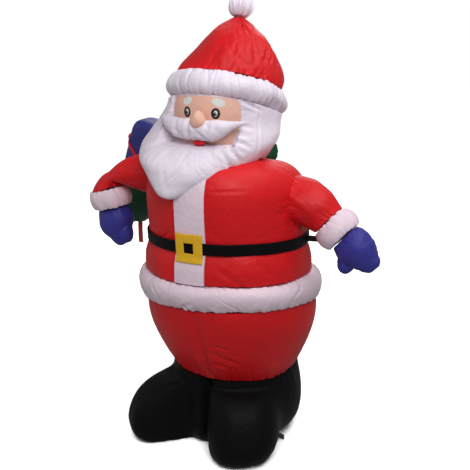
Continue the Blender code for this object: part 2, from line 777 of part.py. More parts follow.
def slab(name, centre, normal, size, thickness):
    """A square plate across a direction in the x and z plane."""
    along = Vector((normal.z, 0.0, -normal.x)) * size
    over = Vector((0.0, size, 0.0))
    corners = (along + over, along - over, -along - over, over - along)
    faces = [[centre + normal * h + corner for corner in corners] for h in (-thickness / 2, thickness / 2)]
    return loft(name, faces, RED)


cut(loft("gift", gift_rings(), PARCEL), sack_room)
ribbon_normal = Vector((math.sin(RIBBON_ROLL), 0.0, math.cos(RIBBON_ROLL)))
ribbon = slab("gift_ribbon", RIBBON_PLACE, ribbon_normal, 2 * GIFT_HEIGHT, RIBBON_WIDTH)
cut(ribbon, room("ribbon_outside", gift_rings(GAP + RIBBON_THICKNESS)), operation="INTERSECT")
cut(ribbon, room("gift_room", gift_rings(GAP)), sack_room)

# Tether loops: short doubled straps at the belt, the boots and the sack
LOOP_WIDTH = 0.016
LOOP_REACH = 0.026
LOOP_THICKNESS = 0.003
HIP_TURN = math.radians(100)
BOOT_LOOP_Z = 0.014
BOOT_LOOP_TURN = math.radians(76)
LOOP_ROOT = 0.012


def strap(name, start, aim, width_aim, material):
    """A flat strap from a point, as long as the loop's reach."""
    across = width_aim.normalized() * LOOP_WIDTH / 2
    thick = aim.cross(across).normalized() * LOOP_THICKNESS / 2
    corners = (across + thick, across - thick, -across - thick, thick - across)
    ends = [[end + corner for corner in corners] for end in (start, start + aim)]
    return loft(name, ends, material)


belt_middle = BELT_LOW.lerp(BELT_HIGH, 0.5)
for side, sign in SIGN.items():
    hip = at_turn(belt_middle, BELT_OUTER + GAP, sign * HIP_TURN)
    outer = at_turn(belt_middle, BELT_OUTER + GAP + LOOP_REACH, sign * HIP_TURN)
    strap(f"hip_loop_{side}", hip, outer - hip, Vector((0, 0, 1)), WEBBING)
    outward = Vector((sign * math.sin(BOOT_LOOP_TURN), -math.cos(BOOT_LOOP_TURN), 0.0))
    reach = boot_reach(side, BOOT_LOOP_TURN, BOOT_LOOP_Z) - LOOP_ROOT
    seat = Vector((0.0, SOLE_Y, BOOT_LOOP_Z)) + outward * reach
    tab = strap(f"boot_loop_{side}", seat, outward * (LOOP_REACH + LOOP_ROOT), Vector((0, 0, 1)), WEBBING)
    cut(tab, room(f"boot_room_{side}", boot_rings(side, GAP)))

SACK_LOOP_PLACE = Vector((-0.372, 0.125, COLLAR - 0.255))
SACK_LOOP_DROP = Vector((0.0, 0.0, -0.075))
cut(strap("sack_loop", SACK_LOOP_PLACE, SACK_LOOP_DROP, Vector((1, 0, 0)), RED), sack_room)

# Stand the origin under the middle of the whole figure
graph = bpy.context.evaluated_depsgraph_get()
corners = [Vector(corner) for piece in bpy.data.objects if not piece.hide_render
           for corner in piece.evaluated_get(graph).bound_box]
middle_x = (min(corner.x for corner in corners) + max(corner.x for corner in corners)) / 2
middle_y = (min(corner.y for corner in corners) + max(corner.y for corner in corners)) / 2
for piece in bpy.data.objects:
    piece.location = (-middle_x, -middle_y, 0.0)
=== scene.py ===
"""The fine model of a blow-up Christmas garden figure, in place of its CAD solids.

Metres, +Z up. The figure faces -Y, with its own left hand at +X. Shapes are worked out round
the figure's own axis and moved to the frame's origin when they are sewn.
"""
import math

import bpy
import numpy as np
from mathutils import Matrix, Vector
from mathutils.bvhtree import BVHTree


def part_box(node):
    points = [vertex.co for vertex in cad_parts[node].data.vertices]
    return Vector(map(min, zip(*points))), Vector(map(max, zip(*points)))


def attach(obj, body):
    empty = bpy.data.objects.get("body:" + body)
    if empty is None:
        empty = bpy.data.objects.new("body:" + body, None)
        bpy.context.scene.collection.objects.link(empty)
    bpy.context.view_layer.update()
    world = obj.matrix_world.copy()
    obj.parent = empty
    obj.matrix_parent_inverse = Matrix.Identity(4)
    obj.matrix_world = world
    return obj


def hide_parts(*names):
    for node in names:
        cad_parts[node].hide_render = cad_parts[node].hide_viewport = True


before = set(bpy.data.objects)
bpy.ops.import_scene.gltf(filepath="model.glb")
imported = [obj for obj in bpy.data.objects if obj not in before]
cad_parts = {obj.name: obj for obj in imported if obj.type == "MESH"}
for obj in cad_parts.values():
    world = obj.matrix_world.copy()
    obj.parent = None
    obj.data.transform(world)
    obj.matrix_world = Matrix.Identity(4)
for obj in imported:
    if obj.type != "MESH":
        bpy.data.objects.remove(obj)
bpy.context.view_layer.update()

# Boots: two halves of one drum of black coated nylon, blown tight, each with a toe that swells
# out of its front. The flat soles are sewn in, so the cloth gathers a little round every seam.
AXIS = np.array((0.02999, -0.01325, 0.0))
ROOM = 0.0003
HALF_SEAM = ROOM / 2
BOOT_HEIGHT = 0.214
BOOT_RADIUS = 0.177
SOLE_Y = 0.045
SOLE_INSET = 0.030
SOLE_ROUND = 0.065
HEEL_INSET = 0.024
HEEL_ROUND = 0.150
SIDE_SWELL = 0.014
NOTCH_DEPTH = 0.020
NOTCH_TURN = 0.09
SIGN = {"left": 1, "right": -1}
TOE_HEIGHT = {"left": 0.188, "right": 0.180}
TOE_REACH = {"left": 0.108, "right": 0.142}
TOE_TURN = {"left": math.radians(31), "right": math.radians(44)}
TOE_SPREAD = {"left": math.radians(27), "right": math.radians(17)}
TOE_POWER = {"left": 3, "right": 4}
CRUMPLE_SCALE = 19.0
CRUMPLE_HEIGHT = 0.0045
CRINKLE_SCALE = 34.0
CRINKLE_HEIGHT = 0.0030
MOTTLE_SCALE = 7.0
THREAD_PITCH = 0.0011
THREAD_HEIGHT = 0.00006


def wired(tree, kind, inputs=None, **settings):
    """Add a shader node; each input is a fixed value or the output that it is linked from."""
    node = tree.nodes.new(kind)
    for key, value in settings.items():
        setattr(node, key, value)
    for key, value in (inputs or {}).items():
        if isinstance(value, bpy.types.NodeSocket):
            tree.links.new(value, node.inputs[key])
        else:
            node.inputs[key].default_value = value
    return node


def reckoned(tree, operation, *values):
    """A maths node's outcome; each value is a number or the output that it is linked from."""
    return wired(tree, "ShaderNodeMath", dict(enumerate(values)), operation=operation).outputs[0]


def ranged(tree, value, low, high, to_low, to_high):
    """The value carried over from one range to another."""
    node = wired(tree, "ShaderNodeMapRange", {"Value": value, "From Min": low, "From Max": high,
                                              "To Min": to_low, "To Max": to_high})
    return node.outputs["Result"]


def noise(tree, spot, scale, detail, roughness=0.5, distortion=0.0):
    node = wired(tree, "ShaderNodeTexNoise", {"Vector": spot, "Scale": scale, "Detail": detail,
                                              "Roughness": roughness, "Distortion": distortion})
    return node.outputs["Fac"]


def bumped(tree, height, strength, distance, under=None):
    """The normal of a surface raised by the height, on top of the normal under it."""
    inputs = {"Height": height, "Strength": strength, "Distance": distance}
    if under:
        inputs["Normal"] = under
    return wired(tree, "ShaderNodeBump", inputs).outputs["Normal"]


def crossed_threads(tree, place, pitches):
    """Ribs of thread that cross each other, at their pitches along and across the cloth."""
    split = wired(tree, "ShaderNodeSeparateXYZ", {"Vector": place.outputs["UV"]})
    waves = [reckoned(tree, "SINE", reckoned(tree, "MULTIPLY", split.outputs[way], 2 * math.pi / pitch))
             for way, pitch in zip("XY", pitches)]
    return reckoned(tree, "MULTIPLY", *waves)


def relief_group(name, outputs):
    """An empty group of shader nodes with the given outputs."""
    group = bpy.data.node_groups.new(name, "ShaderNodeTree")
    for output in outputs:
        kind = "NodeSocketVector" if output == "Normal" else "NodeSocketFloat"
        group.interface.new_socket(output, in_out="OUTPUT", socket_type=kind)
    return group


def nylon_relief():
    """Coated nylon's crumples, threads and uneven gloss, as one group for all the colours."""
    group = relief_group("cloth relief", ("Shade", "Roughness", "Normal"))
    place = wired(group, "ShaderNodeTexCoord")
    spot = place.outputs["Object"]
    crumple = noise(group, spot, CRUMPLE_SCALE, detail=5.0, roughness=0.58, distortion=0.9)
    crinkle = noise(group, spot, CRINKLE_SCALE, detail=2.5, roughness=0.5, distortion=1.6)
    mottle = noise(group, spot, MOTTLE_SCALE, detail=3.0)
    threads = crossed_threads(group, place, (THREAD_PITCH, THREAD_PITCH))
    folds = reckoned(group, "ABSOLUTE", reckoned(group, "SUBTRACT", crinkle, 0.5))
    soft = bumped(group, crumple, 0.6, CRUMPLE_HEIGHT)
    sharp = bumped(group, folds, 0.55, CRINKLE_HEIGHT, soft)
    fine = bumped(group, threads, 0.3, THREAD_HEIGHT, sharp)
    shade = ranged(group, mottle, 0.3, 0.7, 0.92, 1.06)
    gloss = ranged(group, crumple, 0.3, 0.7, 0.56, 0.46)
    wired(group, "NodeGroupOutput", {"Shade": reckoned(group, "MULTIPLY_ADD", threads, 0.035, shade),
                                     "Roughness": gloss, "Normal": fine})
    return group


def coloured(name, group, colour, values):
    """A material of one colour: its group shades and raises it, and the values are set on its shader."""
    material = bpy.data.materials.new(name)
    material.use_nodes = True
    tree = material.node_tree
    shader = tree.nodes["Principled BSDF"]
    relief = wired(tree, "ShaderNodeGroup", node_tree=group)
    tint = wired(tree, "ShaderNodeVectorMath", {0: colour, "Scale": relief.outputs["Shade"]},
                 operation="SCALE")
    tree.links.new(tint.outputs[0], shader.inputs["Base Color"])
    for output in relief.outputs:
        if output.name != "Shade":
            tree.links.new(output, shader.inputs[output.name])
    for key, value in values.items():
        shader.inputs[key].default_value = value
    return material


NYLON_RELIEF = nylon_relief()


def nylon(name, colour, gloss=0.35, glow=0.0):
    """Satin coated nylon of one colour; glow is how much light soaks through it."""
    return coloured(name, NYLON_RELIEF, colour, {"Specular IOR Level": gloss, "Subsurface Weight": glow,
                                                 "Subsurface Radius": (0.02, 0.015, 0.015)})


def shares(count, ease=0.0):
    """Shares from 0 to 1; with ease they lie closer together at both ends."""
    even = np.linspace(0, 1, count)
    return even * (1 - ease) + (1 - np.cos(np.pi * even)) / 2 * ease


def outward(rows):
    """The unit normals of a grid of rings, pointing away from each ring's middle."""
    sideways = np.roll(rows, -1, axis=1) - np.roll(rows, 1, axis=1)
    normals = np.cross(sideways, np.gradient(rows, axis=0))
    normals /= np.linalg.norm(normals, axis=2, keepdims=True) + 1e-9
    return normals * np.sign((normals * (rows - rows.mean(axis=1, keepdims=True))).sum())


def pushed(rows, *heights):
    """Move the cloth along its normals by the sum of the heights."""
    return rows + outward(rows) * sum(heights)[..., None]


def from_seam(rows, seam):
    """Each point's place along the first or last ring, its distance from it and the ring's length."""
    away = np.vstack([np.zeros((1, rows.shape[1])),
                      np.cumsum(np.linalg.norm(np.diff(rows, axis=0), axis=2), axis=0)])
    if seam == "last":
        away = away[-1] - away
    ring = rows[0] if seam == "first" else rows[-1]
    stitches = np.linalg.norm(np.roll(ring, -1, axis=0) - ring, axis=1)
    along = np.cumsum(stitches) - stitches
    return np.broadcast_to(along, away.shape), away, stitches.sum()


def gathers(along, away, length_round, spacing, reach, depth, seed):
    """Small sharp creases that run off a gathered seam and die out over their reach. Chance varies
    the place, lean, width, reach and depth of each."""
    chance = np.random.default_rng(seed)
    count = max(3, round(length_round / spacing))
    height = np.zeros(away.shape)
    for i in range(count):
        place = (i + chance.uniform(-0.38, 0.38)) * length_round / count
        lean, width = chance.uniform(-0.35, 0.35), spacing * chance.uniform(0.12, 0.26)
        fade = np.clip(1 - away / (reach * chance.uniform(0.45, 1.5)), 0, 1) ** 1.4
        across = along - place - lean * away
        across = (across + length_round / 2) % length_round - length_round / 2
        spread = width * (1 + 0.8 * away / reach)
        height -= depth * chance.uniform(0.3, 1.15) * fade * np.exp(-np.abs(across) / spread)
    return height


def gathered(rows, seam, spacing, reach, depth, seed):
    """The gathers along a pouch's first or last ring."""
    return gathers(*from_seam(rows, seam), spacing, reach, depth, seed)


def gathered_ends(rows, first, last, seed):
    """Gathers at both ends of a pouch; each end gives their spacing, reach and depth."""
    return gathered(rows, "first", *first, seed) + gathered(rows, "last", *last, seed + 1)


def dents(rows, size, depth, seed):
    """Slow hollows and swellings, since blown cloth is never quite even."""
    chance = np.random.default_rng(seed)
    height = np.zeros(rows.shape[:2])
    for _ in range(10):
        wave = chance.normal(size=3)
        wave *= 2 * math.pi / (size * chance.uniform(0.7, 1.6)) / np.linalg.norm(wave)
        height += np.sin(rows @ wave + chance.uniform(0, 2 * math.pi)) / 3.2
    return depth * (height - 1)


def creases(rows, lines, axis=(0.0, 0.0)):
    """Single folds round an upright axis; each is a start and an end as degrees from the front and
    height, then its width and depth. A faint lip stands beside each valley."""
    x, y = rows[..., 0] - axis[0], rows[..., 1] - axis[1]
    girth = np.hypot(x, y).mean()
    spread = np.stack([np.arctan2(x, -y) * girth, rows[..., 2]], axis=-1)
    height = np.zeros(rows.shape[:2])
    for start_turn, start_height, end_turn, end_height, width, depth in lines:
        start = np.array((math.radians(start_turn) * girth, start_height))
        way = np.array((math.radians(end_turn) * girth, end_height)) - start
        share = np.clip(((spread - start) @ way) / (way @ way), 0, 1)
        off = np.linalg.norm(spread - start - share[..., None] * way, axis=-1) / width
        fade = np.sin(np.pi * np.clip(share, 0.001, 0.999)) ** 0.6
        height -= depth * fade * (np.exp(-np.abs(off) ** 1.3) - 0.35 * np.exp(-(off - 2.4) ** 2))
    return height


def slack(turns, low, high, count, slant, width, depth, seed):
    """Folds of slack cloth at uneven places between two turns and two heights."""
    chance = np.random.default_rng(seed)
    lines = []
    for i in range(count):
        turn = turns[0] + (turns[1] - turns[0]) * (i + chance.uniform(0.1, 0.9)) / count
        foot, head = sorted(chance.uniform(low, high, 2))
        lines.append((turn, foot, turn + chance.normal() * slant, max(head, foot + 0.35 * (high - low)),
                      width * chance.uniform(0.6, 1.5), depth * chance.uniform(0.4, 1.3)))
    return lines


def ring_faces(rows):
    """The faces between a pouch's rings, and the two that close its ends."""
    count, sides = rows.shape[:2]
    index = np.arange(count * sides).reshape(count, sides)
    following = np.roll(index, -1, axis=1)
    quads = np.stack([index[:-1], following[:-1], following[1:], index[1:]], axis=2).reshape(-1, 4)
    return quads, [index[0][::-1], index[-1]]


def mesh_of(name, rows, quads, ends=()):
    """A mesh in the frame, of points that are measured from the figure's own axis."""
    mesh = bpy.data.meshes.new(name)
    faces = quads.tolist() + [end.tolist() for end in ends]
    mesh.from_pydata((rows + AXIS).reshape(-1, 3).tolist(), [], faces)
    return mesh


def placed(name, data):
    """A new object in the scene."""
    thing = bpy.data.objects.new(name, data)
    bpy.context.collection.objects.link(thing)
    return thing


def dressed(node, mesh, material):
    """Put a finished mesh in its CAD node's place."""
    mesh.materials.append(material)
    piece = placed(f"{node}_cloth", mesh)
    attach(piece, "root")
    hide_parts(node)
    return piece


def sewn(node, rows, material):
    """Close a pouch's rings into one piece, its threads laid out in metres, in its CAD node's place."""
    count, sides = rows.shape[:2]
    quads, ends = ring_faces(rows)
    steps = np.linalg.norm(np.roll(rows, -1, axis=1) - rows, axis=2).mean(axis=0)
    u = np.concatenate([[0.0], np.cumsum(steps)])
    v = np.concatenate([[0.0], np.cumsum(np.linalg.norm(np.diff(rows, axis=0), axis=2).mean(axis=1))])
    left, right = (np.broadcast_to(edge, (count - 1, sides)) for edge in (u[:-1], u[1:]))
    low, high = (np.broadcast_to(edge[:, None], (count - 1, sides)) for edge in (v[:-1], v[1:]))
    threads = np.stack([left, low, right, low, right, high, left, high], axis=2).reshape(-1, 4, 2)
    sideways = np.roll(rows, -1, axis=1) - np.roll(rows, 1, axis=1)
    facing = np.cross(sideways, np.gradient(rows, axis=0)) * (rows - rows.mean(axis=1, keepdims=True))
    if facing.sum() < 0:
        quads, threads, ends = quads[:, ::-1], threads[:, ::-1], [end[::-1] for end in ends]
    mesh = mesh_of(f"{node}_cloth", rows, quads, ends)
    layer = mesh.uv_layers.new(name="threads")
    layer.data.foreach_set("uv", np.concatenate([threads.reshape(-1), np.zeros(4 * sides)]))
    mesh.shade_smooth()
    mesh.set_sharp_from_angle(angle=math.radians(75))
    return dressed(node, mesh, material)


def drawn_in(z, height):
    """How far a rounded bottom edge is drawn in: all at the ground, and nothing from the height up."""
    return 1 - np.sqrt(1 - np.clip(1 - z / height, 0, 1) ** 2)


def boot(side):
    """Rings of half a drum with its toe; their flat side lies against the other boot."""
    z = ((BOOT_HEIGHT - 2 * HALF_SEAM) * shares(64) ** 1.35)[:, None]
    turn = np.linspace(0, math.pi, 221)[None, :]
    sole = SOLE_INSET * drawn_in(z, SOLE_ROUND)
    heel = HEEL_INSET * drawn_in(z, HEEL_ROUND) * np.sin(turn) ** 2
    toe = TOE_REACH[side] * np.sqrt(np.clip(1 - (z / TOE_HEIGHT[side]) ** 2, 0, 1))
    swell = np.exp(-np.abs((turn - TOE_TURN[side]) / TOE_SPREAD[side]) ** TOE_POWER[side])
    bulge = SIDE_SWELL * np.sin(math.pi * z / BOOT_HEIGHT) * np.sin(turn)
    notch = NOTCH_DEPTH * (np.exp(-(turn / NOTCH_TURN) ** 2)
                           + np.exp(-((math.pi - turn) / NOTCH_TURN) ** 2))
    reach = BOOT_RADIUS - sole - heel + bulge + toe * swell - notch
    outer = np.stack([SIGN[side] * np.maximum(HALF_SEAM, reach * np.sin(turn)),
                      SOLE_Y - reach * np.cos(turn), z + 0 * turn], axis=2)
    inner = [outer[:, -1] + (outer[:, 0] - outer[:, -1]) * share for share in shares(26)[1:-1]]
    return np.concatenate([outer, np.stack(inner, axis=1)], axis=1)


black = nylon("black_nylon_cloth", (0.0040, 0.0040, 0.0048), gloss=0.07)
for side, seed in (("left", 1), ("right", 2)):
    rows = boot(side)
    rows = pushed(rows, gathered(rows, "first", 0.024, 0.060, 0.0042, seed),
                  gathered(rows, "last", 0.020, 0.050, 0.0034, seed + 2),
                  dents(rows, size=0.14, depth=0.0022, seed=seed))
    sewn(f"boot_{side}", rows, black)


# Trousers: a bowl of red nylon between the hem and the boots, in panels that meet in a soft ridge
# down the front. It carries the whole weight of the figure, so its lower cloth is pressed in folds.
def seam(y, z, lean_degrees, droop_degrees=0.0):
    """A seam's plane: its centre's y and z, its lean back and its droop to the figure's right."""
    return np.array((y, z, math.radians(lean_degrees), math.radians(droop_degrees)))


BOOT_SEAM = seam(SOLE_Y, BOOT_HEIGHT, 0.0)
HEM_LOW = seam(0.015, 0.412, 7.0, 3.5)
TROUSER_RADIUS = 0.236
BOWL_SWEEP = math.radians(99)
SIDES = 440
TURNS = 2 * math.pi * np.arange(SIDES) / SIDES
# Each fold is its start turn and height, its end turn and height, its width and its depth.
PANEL_RIDGES = [(10.0, 0.45, 12.5, 0.23, 0.012, -0.0030), (-170.0, 0.45, -169.0, 0.23, 0.012, -0.0030),
                (4.5, 0.45, 7.0, 0.22, 0.012, 0.0050), (-176.0, 0.45, -175.0, 0.22, 0.012, 0.0040)]
PRESSED_FOLDS = [(12.8, 0.341, 30.2, 0.332, 0.004, 0.0022), (11.2, 0.321, 36.4, 0.281, 0.005, 0.0028),
                 (14.3, 0.283, 30.0, 0.262, 0.004, 0.0022), (13.0, 0.302, 24.0, 0.296, 0.003, 0.0018)]


def raised(level, height):
    """The level moved along its own axis, which leans back."""
    y, z, lean, droop = level
    return np.array((y + height * math.sin(lean), z + height * math.cos(lean), lean, droop))


def rings(levels, radii, turns=TURNS):
    """Rings round the body on tilted levels; each turns from the front to the figure's left."""
    y, z, lean, droop = (np.asarray(levels)[:, i, None] for i in range(4))
    radii = np.asarray(radii)
    radii = radii[:, None] if radii.ndim == 1 else radii
    x, back = radii * np.sin(turns), -radii * np.cos(turns)
    return np.stack([x, y + back * np.cos(lean), z + x * np.tan(droop) - back * np.sin(lean)], axis=2)


def between(low, high, share):
    return low + (high - low) * share[:, None]


def pouch(low, high, radius_at, count, turns=TURNS):
    """Rings between two seams, half a seam's room short of each."""
    share = shares(count, 0.6)
    levels = between(raised(low, HALF_SEAM), raised(high, -HALF_SEAM), share)
    return rings(levels, radius_at(share), turns)


red = nylon("red_nylon_cloth", (0.62, 0.0035, 0.007), gloss=0.3)
rows = pouch(BOOT_SEAM, HEM_LOW,
             lambda t: BOOT_RADIUS + (TROUSER_RADIUS - BOOT_RADIUS) * np.sin(BOWL_SWEEP * t), 90)
lines = PRESSED_FOLDS + slack((-180, 180), 0.235, 0.315, count=34, slant=9.0,
                              width=0.005, depth=0.0016, seed=14)
rows = pushed(rows, gathered_ends(rows, (0.022, 0.060, 0.0036), (0.016, 0.032, 0.0030), 11),
              dents(rows, size=0.17, depth=0.0022, seed=13),
              creases(rows, PANEL_RIDGES), creases(rows, lines))
sewn("trousers", rows, red)

# Hem trim: a puffed ring of white nylon round the coat's foot. Both its seams are gathered hard,
# and the trim's slack cloth falls into slanting folds between them. The white beside the red
# pouches has a painted pink tint, which stands in for red light reflected off them.
HEM_HIGH = seam(0.002, 0.498, 3.8, 1.5)
HEM_RADIUS = 0.250
SKIRT_RADIUS = 0.226
PUFF_POWER = 0.6


def bulging(low, high, widest):
    """The radius of a puffed ring, from its lower to its upper edge."""
    return lambda t: (low + (high - low) * t
                      + (widest - low - (high - low) * t) * np.sin(math.pi * t).clip(0) ** PUFF_POWER)


white = nylon("white_nylon_cloth", (0.79, 0.71, 0.81), gloss=0.3, glow=0.15)
# A copy of the white nylon with a painted pink tint, standing in for red light reflected off the red pouches
# beside it; the hem, placket and cuffs use it.
red_bounce_white = nylon("rosy_white_nylon_cloth", (0.78, 0.625, 0.715), gloss=0.3, glow=0.15)
rows = pouch(HEM_LOW, HEM_HIGH, bulging(TROUSER_RADIUS, SKIRT_RADIUS, HEM_RADIUS), 52)
lines = slack((-180, 180), 0.405, 0.505, count=40, slant=7.0, width=0.0035, depth=0.0024, seed=24)
rows = pushed(rows, gathered_ends(rows, (0.017, 0.036, 0.0044), (0.016, 0.034, 0.0044), 21),
              creases(rows, lines), dents(rows, size=0.10, depth=0.0014, seed=23))
sewn("hem_trim", rows, red_bounce_white)

# Coat: one tall red pouch, drawn in at the waist by the belt, with rounded shoulders that the head
# sits down into. A white placket is let into its front, so the red cloth gathers along both edges.
BELT_LOW = seam(-0.002, 0.575, 4.0, 1.5)
BELT_HIGH = seam(-0.004, 0.605, 4.0, 1.5)
NECK = seam(-0.010, 0.800, 9.0)
WAIST_RADIUS = 0.211
CHEST_RADIUS = 0.215
NECK_RADIUS = 0.100
SKIRT_POWER = 2.5
SHOULDER_START = 0.42
SHOULDER_POWER = 2.3
SKIRT_STEPS = 26
BELT_STEPS = 5
CHEST_STEPS = 66
FRONT_TURN = math.radians(1.4)
PLACKET_WIDTH = 0.082
PLACKET_DEPTH = 0.006
PLACKET_PROUD = 0.001
# Gathers that don't run round a ring take this as their length, since no seam is as long.
OPEN_SEAM = 2.0
# Each armhole is its middle's y and z, its radius and its gathers' seed.
ARMHOLES = {"left": (0.0, 0.698, 0.068, 36), "right": (-0.006, 0.714, 0.064, 37)}
COAT_FOLDS = [(-27.0, 0.734, -12.5, 0.743, 0.003, 0.0014), (14.5, 0.750, 40.0, 0.752, 0.003, 0.0012),
              (20.0, 0.560, 38.0, 0.508, 0.006, 0.0022), (46.0, 0.575, 60.0, 0.520, 0.006, 0.0018)]


def skirt_radius(t):
    """The coat's radius below the belt, from the hem's seam at 0 to the belt at 1."""
    return WAIST_RADIUS + (SKIRT_RADIUS - WAIST_RADIUS) * (1 - t ** SKIRT_POWER)


def chest_radius(t):
    """The coat's radius above the belt, which swells first and then rounds over to the neck."""
    swell = np.sin(math.pi / 2 * np.minimum(1, t / SHOULDER_START))
    rise = WAIST_RADIUS + (CHEST_RADIUS - WAIST_RADIUS) * swell
    over = np.clip((t - SHOULDER_START) / (1 - SHOULDER_START), 0, 1)
    fall = (1 - over ** SHOULDER_POWER) ** (1 / SHOULDER_POWER)
    return np.where(t < SHOULDER_START, rise, NECK_RADIUS + (CHEST_RADIUS - NECK_RADIUS) * fall)


def coat_levels():
    """The coat's levels from the hem up, with the radius at each."""
    low, high = raised(HEM_HIGH, HALF_SEAM), raised(NECK, -HALF_SEAM)
    skirt, belt, chest = shares(SKIRT_STEPS)[:-1], shares(BELT_STEPS)[:-1], shares(CHEST_STEPS)
    levels = [between(low, BELT_LOW, skirt), between(BELT_LOW, BELT_HIGH, belt),
              between(BELT_HIGH, high, chest)]
    radii = [skirt_radius(skirt), np.full(BELT_STEPS - 1, WAIST_RADIUS), chest_radius(chest)]
    return np.vstack(levels), np.concatenate(radii)


levels, radii = coat_levels()
rows = rings(levels, radii)
from_front = (TURNS - FRONT_TURN + math.pi) % (2 * math.pi) - math.pi
beside = np.abs(from_front) * radii[:, None] - PLACKET_WIDTH / 2
up_front = levels[:, 1, None] + 0 * beside
placket_edge = gathers(up_front + (from_front > 0), beside.clip(0), OPEN_SEAM, 0.022, 0.030, 0.0012, 31)
recess = -(PLACKET_DEPTH * 0.6) * (beside < -0.001) - 0.0007 * np.exp(-(beside.clip(0) / 0.003) ** 2)
armholes = np.zeros(rows.shape[:2])
for side, (middle_y, middle_z, size, seed) in ARMHOLES.items():
    aside, above = rows[..., 1] - middle_y, rows[..., 2] - middle_z
    out = np.hypot(aside, above)
    near = (rows[..., 0] * SIGN[side] > 0) * (out > size * 0.8)
    armholes += gathers(np.arctan2(aside, above) * size, (out - size).clip(0), 2 * math.pi * size,
                        0.017, 0.052, 0.0034, seed) * near
lines = COAT_FOLDS + slack((-180, 180), 0.610, 0.670, count=22, slant=5.0, width=0.005, depth=0.0016, seed=38)
lines += slack((-180, 180), 0.51, 0.57, count=22, slant=5.0, width=0.005, depth=0.0014, seed=39)
rows = pushed(rows, gathered_ends(rows, (0.017, 0.036, 0.0032), (0.020, 0.070, 0.0034), 32),
              placket_edge * (beside > 0), recess, armholes, creases(rows, lines) * (beside > 0.004),
              dents(rows, size=0.15, depth=0.0020, seed=34))
coat = sewn("coat", rows, red)

# Placket: a white strip let into the coat's front, from the hem to under the beard. It is blown up
# with the coat, so it crowns slightly between its two seams.
PLACKET_CROWN = 0.0010
PLACKET_CHEST_STEPS = 50
placket_steps = SKIRT_STEPS - 1 + BELT_STEPS - 1 + PLACKET_CHEST_STEPS
levels, radii = (values[:placket_steps] for values in coat_levels())
across = np.linspace(-1, 1, 41)
turn = FRONT_TURN + np.arcsin(PLACKET_WIDTH / 2 / radii)[:, None] * across
from_belt = np.abs(levels[:, 1] - (BELT_LOW[1] + BELT_HIGH[1]) / 2)
crown = PLACKET_CROWN * np.clip(from_belt / 0.06 - 0.7, 0, 1)[:, None] * (1 - across ** 4)
front = rings(levels, radii[:, None] + PLACKET_PROUD + crown, turn)
rear = rings(levels, (radii - PLACKET_DEPTH)[:, None] + 0 * turn, turn[:, ::-1])
from_edge = PLACKET_WIDTH / 2 * (1 - np.abs(across)) + 0 * turn
up_front = levels[:, 1, None] + 0 * turn
tucks = gathers(up_front + (across > 0), from_edge, OPEN_SEAM, 0.024, 0.022, 0.0010, 35)
still = np.zeros(rear.shape[:2])
rows = np.concatenate([front, rear], axis=1)
rows = pushed(rows, np.concatenate([tucks, still], axis=1))
# The placket's white has the painted pink tint that stands in for red light reflected off the coat.
sewn("placket", rows, red_bounce_white)

# Belt: a flat strap of black nylon sewn on round the waist and over the placket, with a few
# shallow waves where the blown coat pushes against it.
BELT_HEIGHT = 0.030
BELT_THICKNESS = 0.003
BELT_EDGE = 0.0010
BELT_WAVE = 0.0003
BELT_INNER = WAIST_RADIUS + PLACKET_PROUD + ROOM
BELT_OUTER = BELT_INNER + BELT_THICKNESS
section = [(0.0, BELT_INNER), (0.0, BELT_OUTER - BELT_EDGE)]
section += [(share, BELT_OUTER) for share in np.linspace(0.04, 0.96, 9)]
section += [(1.0, BELT_OUTER - BELT_EDGE), (1.0, BELT_INNER)]
chance = np.random.default_rng(41)
sway = sum(np.sin(k * TURNS + chance.uniform(0, 6)) for k in (3, 5, 8, 13)) * BELT_WAVE
edges = np.stack([rings(between(BELT_LOW, BELT_HIGH, np.array([share])), [radius])[0]
                  for share, radius in section])
edges[:, :, 2] += sway
rows = np.swapaxes(edges, 0, 1)


def looped(node, rows, material):
    """A band that runs round and joins itself; its rows are its sections."""
    count, corners = rows.shape[:2]
    index = np.arange(count * corners).reshape(count, corners)
    onward, over = np.roll(index, -1, axis=0), np.roll(index, -1, axis=1)
    quads = np.stack([index, onward, np.roll(onward, -1, axis=1), over], axis=2).reshape(-1, 4)
    mesh = mesh_of(f"{node}_cloth", rows, quads)
    u = np.cumsum(np.linalg.norm(np.roll(rows, -1, axis=0) - rows, axis=2).mean(axis=1))
    v = np.cumsum(np.linalg.norm(np.roll(rows, -1, axis=1) - rows, axis=2).mean(axis=0))
    u, v = (np.broadcast_to(edge, (count, corners)) for edge in (u[:, None], v[None, :]))
    step_u, step_v = u[1, 0] - u[0, 0], 0.002
    threads = np.stack([u, v, u + step_u, v, u + step_u, v + step_v, u, v + step_v], axis=2)
    mesh.uv_layers.new(name="threads").data.foreach_set("uv", threads.reshape(-1))
    mesh.shade_smooth()
    mesh.set_sharp_from_angle(angle=math.radians(50))
    return dressed(node, mesh, material)


looped("belt", rows, black)

# Buckle: a square of yellow nylon appliqued over the belt, lightly padded, with a window that
# shows the belt. Its corners pull out of true, as the stretched belt drags them.
BUCKLE_SIZE = 0.074
BUCKLE_WINDOW = 0.026
BUCKLE_THICKNESS = 0.004
BUCKLE_LIFT = 0.0008
SKIRT_HEIGHT = 0.077
CHEST_HEIGHT = 0.195
TUGGED_CORNER = 2.36
TUG_SPREAD = 0.35
CORNER_TUG = 0.035
SIDE_PULL = 0.015
BUCKLE_SQUARENESS = 0.45
BUCKLE_FLATNESS = 0.7


def buckle_seat(height):
    """The radius that clears the belt, and the placket where the coat swells beside it."""
    over = np.abs(height) - BELT_HEIGHT / 2
    above, below = chest_radius(over.clip(0) / CHEST_HEIGHT), skirt_radius(1 - over.clip(0) / SKIRT_HEIGHT)
    coat_here = np.where(height > 0, above, below)
    return np.maximum(BELT_OUTER, coat_here + PLACKET_PROUD) + BUCKLE_LIFT


def blunted(wave, power):
    """A wave that keeps its sign, with its swing made squarer by a power under 1."""
    return np.sign(wave) * np.abs(wave) ** power


